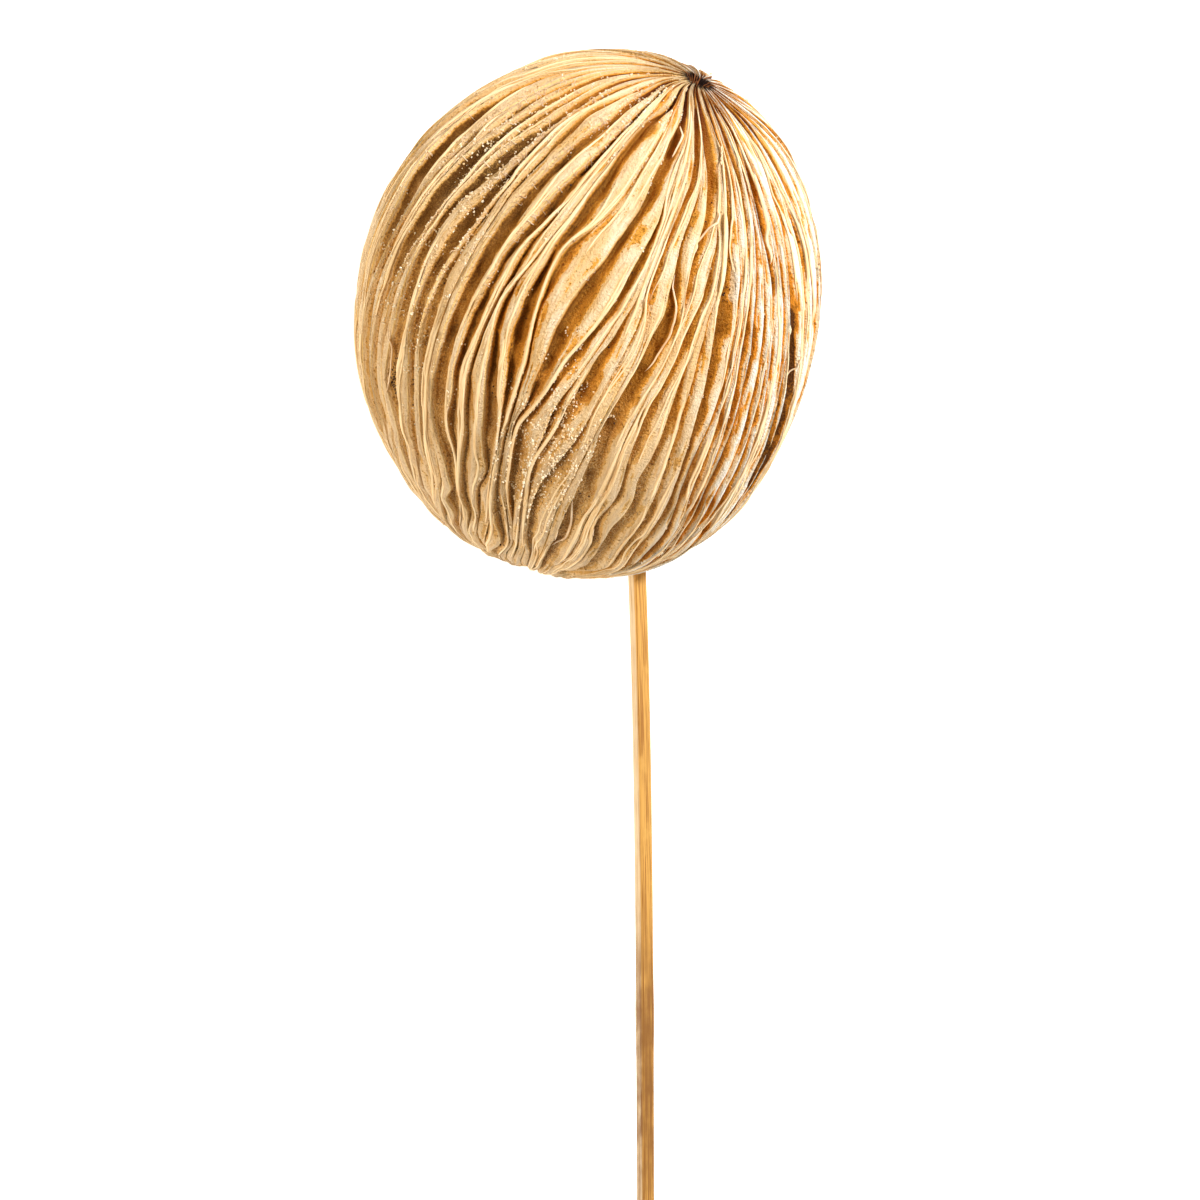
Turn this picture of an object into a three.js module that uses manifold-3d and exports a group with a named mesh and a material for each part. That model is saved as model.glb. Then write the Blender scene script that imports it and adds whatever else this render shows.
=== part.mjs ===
// A bleached mintola ball, the dry fibrous stone of a sea mango, pushed onto a square bamboo stick.
// All sizes are in millimetres. The whole thing lies on its back on a flat surface at z = 0: the ball
// rests on a small flat spot and the stick slopes down from it until its cut end touches the surface.
//
// The ball is shaped upright first, in its own frame: x to the right, y up towards the tip, z towards
// the side that lies uppermost. Its fibres run like meridians from a top pole to a bottom pole. Every
// groove between two fibre ribs is a path of longitudes, with a half opening that swells into a hollow
// and closes again where the ribs grow together.
import * as THREE from "three";
import { mergeVertices } from "three/addons/utils/BufferGeometryUtils.js";
import Module from "manifold-3d";

// The egg shape of the ball
const OUTLINE_RADIUS = 37.6; // mean radius of the outline, seen from the uppermost side
const HALF_DEPTH = 34.2; // from the middle to the uppermost side
const OUTLINE_SWELL = { right: 0.2, up: 0.1, slim: 2.34, lean: 1.03, corner: -0.48, shoulder: 0.37 };
const TOP_POLE = { turn: 25.4, rise: 16.6 }; // degrees: from +y towards +x, and towards +z
const BOTTOM_POLE = { turn: 190.7, rise: -15.6 };

// The grooves on the uppermost half, from left to right. Each row gives the longitude in degrees and
// the half opening in degrees at every colatitude in GROOVE_STOPS.
const GROOVE_STOPS = [20, 40, 60, 80, 100, 120, 140];
const SHOWN_GROOVES = [
  [-177, 1, -174, 2.2, -173.5, 1.4, -172, 0.9, -171, 0.4, -170, 0.5, -168, 0.6],
  [-172.5, 0.3, -169.3, 0.9, -168.3, 0.5, -167.4, 0.8, -164.5, 0.5, -161.5, 0.6, -159, 0.4],
  [-167, 0.5, -164.3, 1.4, -159.3, 2.1, -155.2, 1.6, -156, 0.3, -155.5, 0.2, -152, 0.3],
  [-157, 0.3, -153.3, 0.8, -151.6, 0.8, -151.3, 0.3, -151.6, 1.5, -149.5, 2, -146.5, 0.8],
  [-151, 0.5, -149.1, 0.8, -148.2, 0.15, -148.3, 0.15, -147.2, 0.3, -146.2, 0.4, -143.2, 0.8],
  [-146.5, 0.8, -143.3, 1.1, -143.6, 1.6, -144.8, 1.7, -143.6, 0.4, -142.8, 0.7, -140.3, 0.3],
  [-142.8, 0.1, -139.3, 0.3, -139.9, 0.2, -140.6, 0.3, -139.9, 0.5, -139.3, 0.2, -137.4, 0.3],
  [-139.6, 0.6, -134.2, 1.2, -137, 1.3, -137.9, 1.1, -137.2, 1.2, -136, 0.7, -134, 0.5],
  [-133.5, 0.4, -130.4, 0.15, -130.1, 1.9, -132.6, 1.1, -131.4, 1.4, -130.4, 1, -128.8, 0.4],
  [-129, 0.1, -128.3, 0.1, -127.6, 0.1, -128.9, 1, -128.2, 0.35, -127, 0.2, -125.5, 0.3],
  [-125.3, 0.1, -126, 0.4, -125.3, 0.3, -125.3, 0.2, -125.2, 0.2, -124, 0.35, -122, 0.3],
  [-121, 0.6, -119.6, 0.6, -120.7, 1.1, -121.7, 1.3, -121.6, 1.5, -117.5, 2.5, -117.8, 1.4],
  [-117, 0.1, -116.2, 0.3, -117, 0.2, -117.7, 0.9, -116.8, 0.6, -113, 0.4, -113, 0.5],
  [-111.9, 0.6, -110.9, 0.8, -113.8, 1.4, -112.2, 0.9, -109, 1.3, -108, 0.35, -108.5, 0.5],
  [-100.6, 0.5, -103.8, 1.2, -106.1, 0.9, -107.1, 1.1, -104.9, 0.6, -103.8, 0.25, -100.8, 1.7],
  [-98.3, 0.1, -99.2, 0.3, -103.1, 0.9, -104.3, 0.6, -102.2, 0.15, -100.8, 0.2, -97.6, 0.2],
  [-87.5, 2.2, -88.4, 1.3, -93, 1.3, -97.3, 1.6, -99.4, 0.6, -98.2, 1.7, -94.5, 0.3],
  [-77.6, 0.1, -79.7, 0.35, -85.8, 0.95, -91.4, 0.75, -96.7, 0.5, -95.2, 0.6, -92.3, 0.1],
  [-77, 0, -78, 0.1, -83.6, 0.15, -89, 0.15, -93.1, 0.95, -94, 0, -91.6, 0],
  [-76.2, 0.6, -76.3, 0.4, -81, 1, -86.4, 1.5, -89.4, 1.1, -92.8, 0.1, -90.6, 0.9],
  [-74.6, 0.1, -73.4, 0.3, -79, 0.35, -82.5, 0.1, -86.4, 0.3, -90.2, 1.6, -87.3, 1],
  [-73.2, 0.1, -71.7, 0.3, -74.2, 0.8, -76.8, 1.7, -80.4, 1.5, -82, 2.2, -83.8, 1.3],
  [-67.5, 3.4, -65.8, 1.9, -70, 0.6, -69.1, 1, -72.5, 0.5, -75.3, 0.2, -77.3, 1.1],
  [-63.5, 0, -62.9, 0, -66.9, 0.1, -67.5, 0, -70, 0.15, -73, 0.4, -72.2, 0.7],
  [-62.4, 0, -61.9, 0, -64.2, 0.5, -66.3, 0.6, -66.8, 1, -66.5, 1.8, -67.6, 2.5],
  [-61.6, 0, -61, 0, -62.2, 0.05, -62.9, 0.4, -62.3, 0.55, -61, 0.6, -59.3, 0.9],
  [-59.5, 1.2, -58.7, 1.4, -58.2, 2, -58.2, 1.2, -58.2, 0.8, -56.8, 0.9, -54.2, 1],
  [-56, 0.3, -54.9, 0.3, -53.8, 0.3, -54.2, 0.4, -55.4, 0.7, -53, 0.7, -50.2, 1.1],
  [-51, 0.3, -48.9, 0.3, -51.2, 0.25, -51.8, 0.6, -51.8, 0.6, -49.8, 0.4, -47.2, 0.4],
  [-48.8, 0.2, -47.6, 0.35, -49.2, 0.2, -48.8, 0.6, -48.9, 0.3, -47.2, 0.9, -43.8, 1.3],
  [-46.3, 0.9, -46.3, 0.05, -46.7, 0.8, -46.4, 0.6, -46.6, 0.5, -44.5, 1.3, -40.3, 0.5],
  [-44.8, 0, -45.4, 0, -42.7, 0.3, -41.7, 0.5, -41.4, 0.6, -39.8, 0.9, -36.5, 1.2],
  [-42.6, 0.6, -42.2, 2.4, -38.7, 0.5, -37.2, 0.9, -38.3, 0.7, -35, 0.9, -32.5, 0.5],
  [-39.5, 0.1, -36.7, 0.3, -32.4, 0.4, -33.6, 0.5, -32.6, 0.8, -31, 0.3, -28, 0.3],
  [-36, 0.1, -32.6, 0.9, -29.9, 0, -30.3, 0.5, -29.2, 0.7, -27.8, 0.3, -25, 0.3],
  [-29, 0.5, -28, 0.6, -25.8, 2.4, -23.6, 2.6, -21.8, 2.6, -21.3, 2.3, -19, 1.5],
  [-24.5, 1.2, -20.2, 0.6, -17, 0.6, -15.5, 0.4, -15, 0.5, -14.5, 0.4, -13, 0.4],
  [-17.5, 0.9, -14, 0.8, -11, 0.8, -9, 0.5, -8.5, 0.4, -8, 0.5, -7, 0.5],
];

// The grooves on the hidden half follow the same habit by a seeded rule.
const HIDDEN_GROOVES = { count: 30, from: -4, to: 181, wander: 1.7, widest: 2.2 };
const SEAM = { turn: 158, opening: 2.2 }; // the second seam of the stone, across from the first
const LEAST_RIB = 0.55; // degrees of longitude
const WIDEN = { factor: 1.2, more: 0.12 }; // of every half opening
const GROOVE_DEPTH = { least: 0.45, most: 3.2, width: 1.3 };
const POLE_RING = 2.4; // degrees from a pole at which the ribs end
const POLE_PIT = 1.1; // depth of the dimple at each pole
const ROWS = 26;

// The stick
const STICK_SIDE = 2.3; // a square split stick
const STICK_TIP_SIDE = 2.05; // at the cut end
const STICK_CORNER = 0.35; // cut off each corner
const STICK_TURN = -26.6; // degrees about its own length
const STICK_FREE = 318; // length outside the ball
const STICK_IN = 30; // length inside the ball
const STICK_ENTRY = { x: 7.4, y: -39.3, z: -3 };
const STICK_BOW = 1.45; // sideways, over BOW_LENGTH
const BOW_LENGTH = 38;
const KNUCKLE = { at: 67, half: 5, swell: 0.1 }; // the bamboo's joint
const STICK_RINGS = 44;
const GAP = 0.3; // between the stick and its hole

// How it lies
const BALL_HEIGHT = 33.35; // from the surface to the middle of the ball
const BALL_AT = { x: 0.171, y: 158.102 }; // the middle of the ball, from the middle of the whole

const radians = THREE.MathUtils.degToRad;

// The seeded draw: the same number for the same seed, from 0 to 1.
function draw(seed) {
  const wave = Math.sin(seed * 12.9898) * 43758.5453;
  return wave - Math.floor(wave);
}

function direction({ turn, rise }) {
  const a = radians(turn);
  const b = radians(rise);
  return new THREE.Vector3(Math.cos(b) * Math.sin(a), Math.cos(b) * Math.cos(a), Math.sin(b));
}

// Axes for the projection of the unit sphere from the bottom pole, and the place of the top pole in it
const up = direction(BOTTOM_POLE).negate();
const top = direction(TOP_POLE);
const across = top.clone().addScaledVector(up, -top.dot(up)).normalize();
const sideways = new THREE.Vector3().crossVectors(up, across);
const topShift = top.dot(across) / (1 + top.dot(up));

// A unit vector for a longitude and colatitude between the two poles, which needn't be opposite: the
// plane of the projection is moved so that the top pole is its middle, and its circles are colatitudes.
function onSphere(longitude, colatitude) {
  const r = Math.tan(colatitude / 2);
  const u = r * Math.cos(longitude) + topShift;
  const v = r * Math.sin(longitude);
  const m = u * u + v * v;
  return new THREE.Vector3()
    .addScaledVector(across, (2 * u) / (1 + m))
    .addScaledVector(sideways, (2 * v) / (1 + m))
    .addScaledVector(up, (1 - m) / (1 + m));
}

// The egg: a radius that swells with a few low waves over the direction d
function eggPoint(d) {
  const s = OUTLINE_SWELL;
  const { x, y, z } = d;
  const radius =
    OUTLINE_RADIUS +
    s.right * x +
    s.up * y +
    s.slim * (y * y - x * x) +
    s.lean * 2 * x * y +
    s.corner * (x * x * x - 3 * x * y * y) +
    s.shoulder * (3 * x * x * y - y * y * y);
  return new THREE.Vector3(radius * x, radius * y, HALF_DEPTH * z);
}

// A smooth curve through evenly spaced stops
function throughStops(stops, values, at) {
  const step = stops[1] - stops[0];
  const place = THREE.MathUtils.clamp((at - stops[0]) / step, 0, stops.length - 1);
  const i = Math.min(Math.floor(place), stops.length - 2);
  const t = place - i;
  const [b, c] = [values[i], values[i + 1]];
  const a = i > 0 ? values[i - 1] : b;
  const d = i < stops.length - 2 ? values[i + 2] : c;
  return b + 0.5 * t * (c - a + t * (2 * a - 5 * b + 4 * c - d + t * (3 * (b - c) + d - a)));
}

function shownGrooves() {
  return SHOWN_GROOVES.map((row) => ({
    turns: GROOVE_STOPS.map((_, i) => row[2 * i]),
    openings: GROOVE_STOPS.map((_, i) => row[2 * i + 1]),
  }));
}

// Evenly spaced grooves that wander, with an opening that is small in most places and wide in a few
function hiddenGrooves() {
  const { count, from, to, wander, widest } = HIDDEN_GROOVES;
  const spacing = (to - from) / count;
  return Array.from({ length: count }, (_, k) => {
    const home = from + spacing * (k + 0.5);
    const isSeam = Math.abs(home - SEAM.turn) < spacing / 2;
    const lean = wander * (draw(k + 1) - 0.5);
    return {
      turns: GROOVE_STOPS.map((_, i) => home + lean * (i - 3) * 0.5 + wander * (draw(31 * k + 7 * i) - 0.5)),
      openings: GROOVE_STOPS.map((_, i) =>
        isSeam ? SEAM.opening : 0.15 + widest * draw(17 * k + 5 * i + 3) ** 1.7,
      ),
    };
  });
}

// The left and right edge of every groove at a colatitude, in degrees, kept in order
function edgesAt(grooves, colatitude) {
  const edges = [];
  let last = -Infinity;
  for (const g of grooves) {
    const turn = throughStops(GROOVE_STOPS, g.turns, colatitude);
    const opening = WIDEN.more + WIDEN.factor * Math.max(throughStops(GROOVE_STOPS, g.openings, colatitude), 0);
    const left = Math.max(turn - opening, last + LEAST_RIB);
    const right = Math.max(turn + opening, left + 0.2);
    edges.push([left, right]);
    last = right;
  }
  return edges;
}

function grooveDepth(widthInMillimetres) {
  const { least, most, width } = GROOVE_DEPTH;
  return least + most * (1 - Math.exp(-widthInMillimetres / width));
}

// Three columns of points for each groove: the edge of one rib, the bottom and the edge of the next
function ballGeometry() {
  const grooves = [...shownGrooves(), ...hiddenGrooves()];
  const columns = grooves.length * 3;
  const positions = [];
  for (let row = 0; row <= ROWS; row++) {
    const colatitude = POLE_RING + ((180 - 2 * POLE_RING) * row) / ROWS;
    for (const [left, right] of edgesAt(grooves, colatitude)) {
      const width = radians(right - left) * OUTLINE_RADIUS * Math.sin(radians(colatitude));
      const places = [[left, 0], [(left + right) / 2, grooveDepth(width)], [right, 0]];
      for (const [turn, depth] of places) {
        const p = eggPoint(onSphere(radians(turn), radians(colatitude)));
        positions.push(...p.multiplyScalar(1 - depth / p.length()));
      }
    }
  }
  const poles = [0, 180].map((colatitude) => {
    const p = eggPoint(onSphere(0, radians(colatitude === 0 ? 0.01 : 179.99)));
    positions.push(...p.multiplyScalar(1 - POLE_PIT / p.length()));
    return positions.length / 3 - 1;
  });
  const index = [];
  for (let c = 0; c < columns; c++) {
    const next = (c + 1) % columns;
    index.push(poles[0], c, next);
    for (let row = 0; row < ROWS; row++) {
      const [a, b] = [row * columns + c, row * columns + next];
      index.push(a, b + columns, b, a, a + columns, b + columns);
    }
    index.push(poles[1], ROWS * columns + next, ROWS * columns + c);
  }
  const geometry = new THREE.BufferGeometry();
  geometry.setAttribute("position", new THREE.Float32BufferAttribute(positions, 3));
  geometry.setIndex(index);
  return geometry;
}

// A square with its corners cut off, as eight points
function stickSection(side) {
  const h = side / 2;
  const k = h - STICK_CORNER;
  const corners = [[h, k], [k, h], [-k, h], [-h, k], [-h, -k], [-k, -h], [k, -h], [h, -k]];
  return corners.map(([x, z]) => new THREE.Vector2(x, z).rotateAround(new THREE.Vector2(), radians(STICK_TURN)));
}

// The middle line of the stick, at a distance below the place where it leaves the ball
function stickLine(distance) {
  const bow = STICK_BOW * (1 - Math.exp(-Math.max(distance, 0) / BOW_LENGTH));
  return new THREE.Vector3(STICK_ENTRY.x + bow, STICK_ENTRY.y - distance, STICK_ENTRY.z);
}

// Rings of the section down the middle line, closed by a fan at each end
function stickGeometry(grow, from, to) {
  const positions = [];
  const index = [];
  const ringSize = 8;
  for (let i = 0; i <= STICK_RINGS; i++) {
    const distance = from + ((to - from) * i) / STICK_RINGS;
    const taper = THREE.MathUtils.lerp(STICK_SIDE, STICK_TIP_SIDE, Math.max(distance, 0) / STICK_FREE);
    const swell = 1 + KNUCKLE.swell * Math.exp(-(((distance - KNUCKLE.at) / KNUCKLE.half) ** 2));
    const middle = stickLine(distance);
    for (const corner of stickSection(taper * swell + 2 * grow)) {
      positions.push(middle.x + corner.x, middle.y, middle.z + corner.y);
    }
  }
  for (const distance of [from, to]) positions.push(...stickLine(distance));
  const first = (STICK_RINGS + 1) * ringSize;
  for (let c = 0; c < ringSize; c++) {
    const next = (c + 1) % ringSize;
    index.push(first, next, c);
    for (let i = 0; i < STICK_RINGS; i++) {
      const [a, b] = [i * ringSize + c, i * ringSize + next];
      index.push(a, b, b + ringSize, a, b + ringSize, a + ringSize);
    }
    index.push(first + 1, STICK_RINGS * ringSize + c, STICK_RINGS * ringSize + next);
  }
  const geometry = new THREE.BufferGeometry();
  geometry.setAttribute("position", new THREE.Float32BufferAttribute(positions, 3));
  geometry.setIndex(index);
  return geometry;
}

// Lays the upright thing on its back, tipped so that the stick's cut end meets the surface
function layingMatrix() {
  const turn = Math.abs(radians(STICK_TURN));
  const halfStick = (STICK_TIP_SIDE / 2) * (Math.cos(turn) + Math.sin(turn)) - STICK_CORNER * Math.sin(turn);
  const below = halfStick - STICK_ENTRY.z;
  const along = STICK_FREE - STICK_ENTRY.y;
  const tip = Math.asin(BALL_HEIGHT / Math.hypot(below, along)) - Math.atan2(below, along);
  return new THREE.Matrix4()
    .makeTranslation(BALL_AT.x, BALL_AT.y, BALL_HEIGHT)
    .multiply(new THREE.Matrix4().makeRotationX(tip));
}

const wasm = await Module();
wasm.setup();

function toSolid(geometry) {
  const bare = geometry.clone();
  for (const name of ["normal", "uv"]) bare.deleteAttribute(name);
  const merged = mergeVertices(bare, 1e-4);
  return new wasm.Manifold(
    new wasm.Mesh({
      numProp: 3,
      vertProperties: merged.attributes.position.array,
      triVerts: new Uint32Array(merged.index.array),
    }),
  );
}

function toGeometry(solid) {
  const mesh = solid.getMesh();
  const geometry = new THREE.BufferGeometry();
  geometry.setAttribute("position", new THREE.BufferAttribute(new Float32Array(mesh.vertProperties), 3));
  geometry.setIndex(new THREE.BufferAttribute(new Uint32Array(mesh.triVerts), 1));
  geometry.computeVertexNormals();
  return geometry;
}

// The ball, laid down, with the hole for the stick and its flat spot
function makeBall(lay) {
  const belowSurface = new THREE.BoxGeometry(200, 200, 20).translate(BALL_AT.x, BALL_AT.y, -10);
  const hole = stickGeometry(GAP, -STICK_IN - GAP, 12).applyMatrix4(lay);
  const solid = toSolid(ballGeometry().applyMatrix4(lay)).subtract(toSolid(hole)).subtract(toSolid(belowSurface));
  const husk = new THREE.MeshStandardMaterial({ color: 0xe3c08e, roughness: 0.78, metalness: 0 });
  const mesh = new THREE.Mesh(toGeometry(solid), husk);
  mesh.name = "mintola_ball";
  return mesh;
}

function makeStick(lay) {
  const bamboo = new THREE.MeshStandardMaterial({ color: 0xcf9a5a, roughness: 0.55, metalness: 0 });
  const geometry = stickGeometry(0, -STICK_IN, STICK_FREE).applyMatrix4(lay);
  geometry.computeVertexNormals();
  const mesh = new THREE.Mesh(geometry, bamboo);
  mesh.name = "bamboo_stick";
  return mesh;
}

const lay = layingMatrix();
const group = new THREE.Group();
group.add(makeBall(lay), makeStick(lay));

export default group;
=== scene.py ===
"""A bleached mintola ball, the dry fibrous stone of a sea mango, on a split bamboo stick.

The ball is worked out upright in its own frame, in metres: x to the right, y up towards the tip, z
towards the side that lies uppermost. Then it is laid on its back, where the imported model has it.
"""

import math

import bpy
import numpy as np
from bpy.props import FloatProperty, FloatVectorProperty, IntProperty, PointerProperty
from mathutils import Matrix, Vector


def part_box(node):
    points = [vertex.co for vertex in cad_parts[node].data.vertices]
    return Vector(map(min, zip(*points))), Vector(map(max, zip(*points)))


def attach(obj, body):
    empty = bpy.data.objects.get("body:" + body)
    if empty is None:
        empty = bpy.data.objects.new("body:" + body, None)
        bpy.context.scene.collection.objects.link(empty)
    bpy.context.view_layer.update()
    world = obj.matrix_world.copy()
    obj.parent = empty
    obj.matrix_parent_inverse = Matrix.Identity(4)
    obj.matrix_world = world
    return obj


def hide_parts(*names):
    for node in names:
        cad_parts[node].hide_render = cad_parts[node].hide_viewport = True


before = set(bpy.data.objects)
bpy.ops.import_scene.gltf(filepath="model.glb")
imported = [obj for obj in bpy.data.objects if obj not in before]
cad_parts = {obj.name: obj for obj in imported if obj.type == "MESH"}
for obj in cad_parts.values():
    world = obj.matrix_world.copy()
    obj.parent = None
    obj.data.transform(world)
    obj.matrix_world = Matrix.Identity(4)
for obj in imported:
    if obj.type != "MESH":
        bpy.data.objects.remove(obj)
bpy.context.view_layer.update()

bl_info = {
    "name": "Bleached mintola ball",
    "version": (1, 0, 0),
    "blender": (4, 5, 0),
    "location": "3D View > Sidebar > Mintola",
    "description": "Fibrous seed stone on a split bamboo stick, lying on a pale studio floor",
    "category": "Add Mesh",
}

MM = 0.001

# The record's material slots for the ball and the stick
HUSK = "bleached_fibre"
BAMBOO = "split_bamboo"

# How much of the UV map a metre along a fibre or the stick takes up
MAP_PER_METRE = 10

# The egg shape of the ball
OUTLINE_RADIUS = 37.6 * MM
HALF_DEPTH = 34.2 * MM
SWELL = {"right": 0.2, "up": 0.1, "slim": 2.34, "lean": 1.03, "corner": -0.48, "shoulder": 0.37}
TIP_TURN = (25.4, 16.6)  # degrees: from +y towards +x, and towards +z
FOOT_TURN = (190.7, -15.6)
BALL_HEIGHT = 33.35 * MM

# The stick, where it leaves the ball, and the bamboo's joint on it
STICK_SIDE = 2.3 * MM
STICK_TIP_SIDE = 2.05 * MM
STICK_CORNER = 0.35 * MM
STICK_TURN = -26.6  # degrees about its own length
STICK_FREE = 318 * MM
STICK_IN = 30 * MM
STICK_ENTRY = np.array([7.4, -39.3, -3.0]) * MM
STICK_BOW = 1.45 * MM
BOW_LENGTH = 38 * MM
KNUCKLE_AT = 67 * MM
KNUCKLE_HALF = 5 * MM

# What the photograph frames: a square of this height, whose middle is off the middle of the ball
VIEW_HEIGHT = 180 * MM
VIEW_MIDDLE = np.array([1.8, -42.9, 0.0]) * MM

# Lights, from the middle of the ball, and the floor
KEY_PLACE = (0.62, 0.4, 0.64)
KEY_SIZE = 0.16
KEY_TINT = (1.0, 1.0, 1.0)
FILL_PLACE = (-0.68, -0.12, 0.58)
FILL_SIZE = 0.26
FILL_TINT = (1.0, 0.88, 0.7)
SKY_TINT = (1.0, 0.83, 0.58, 1.0)
FLOOR_HALF = 12.0

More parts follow.
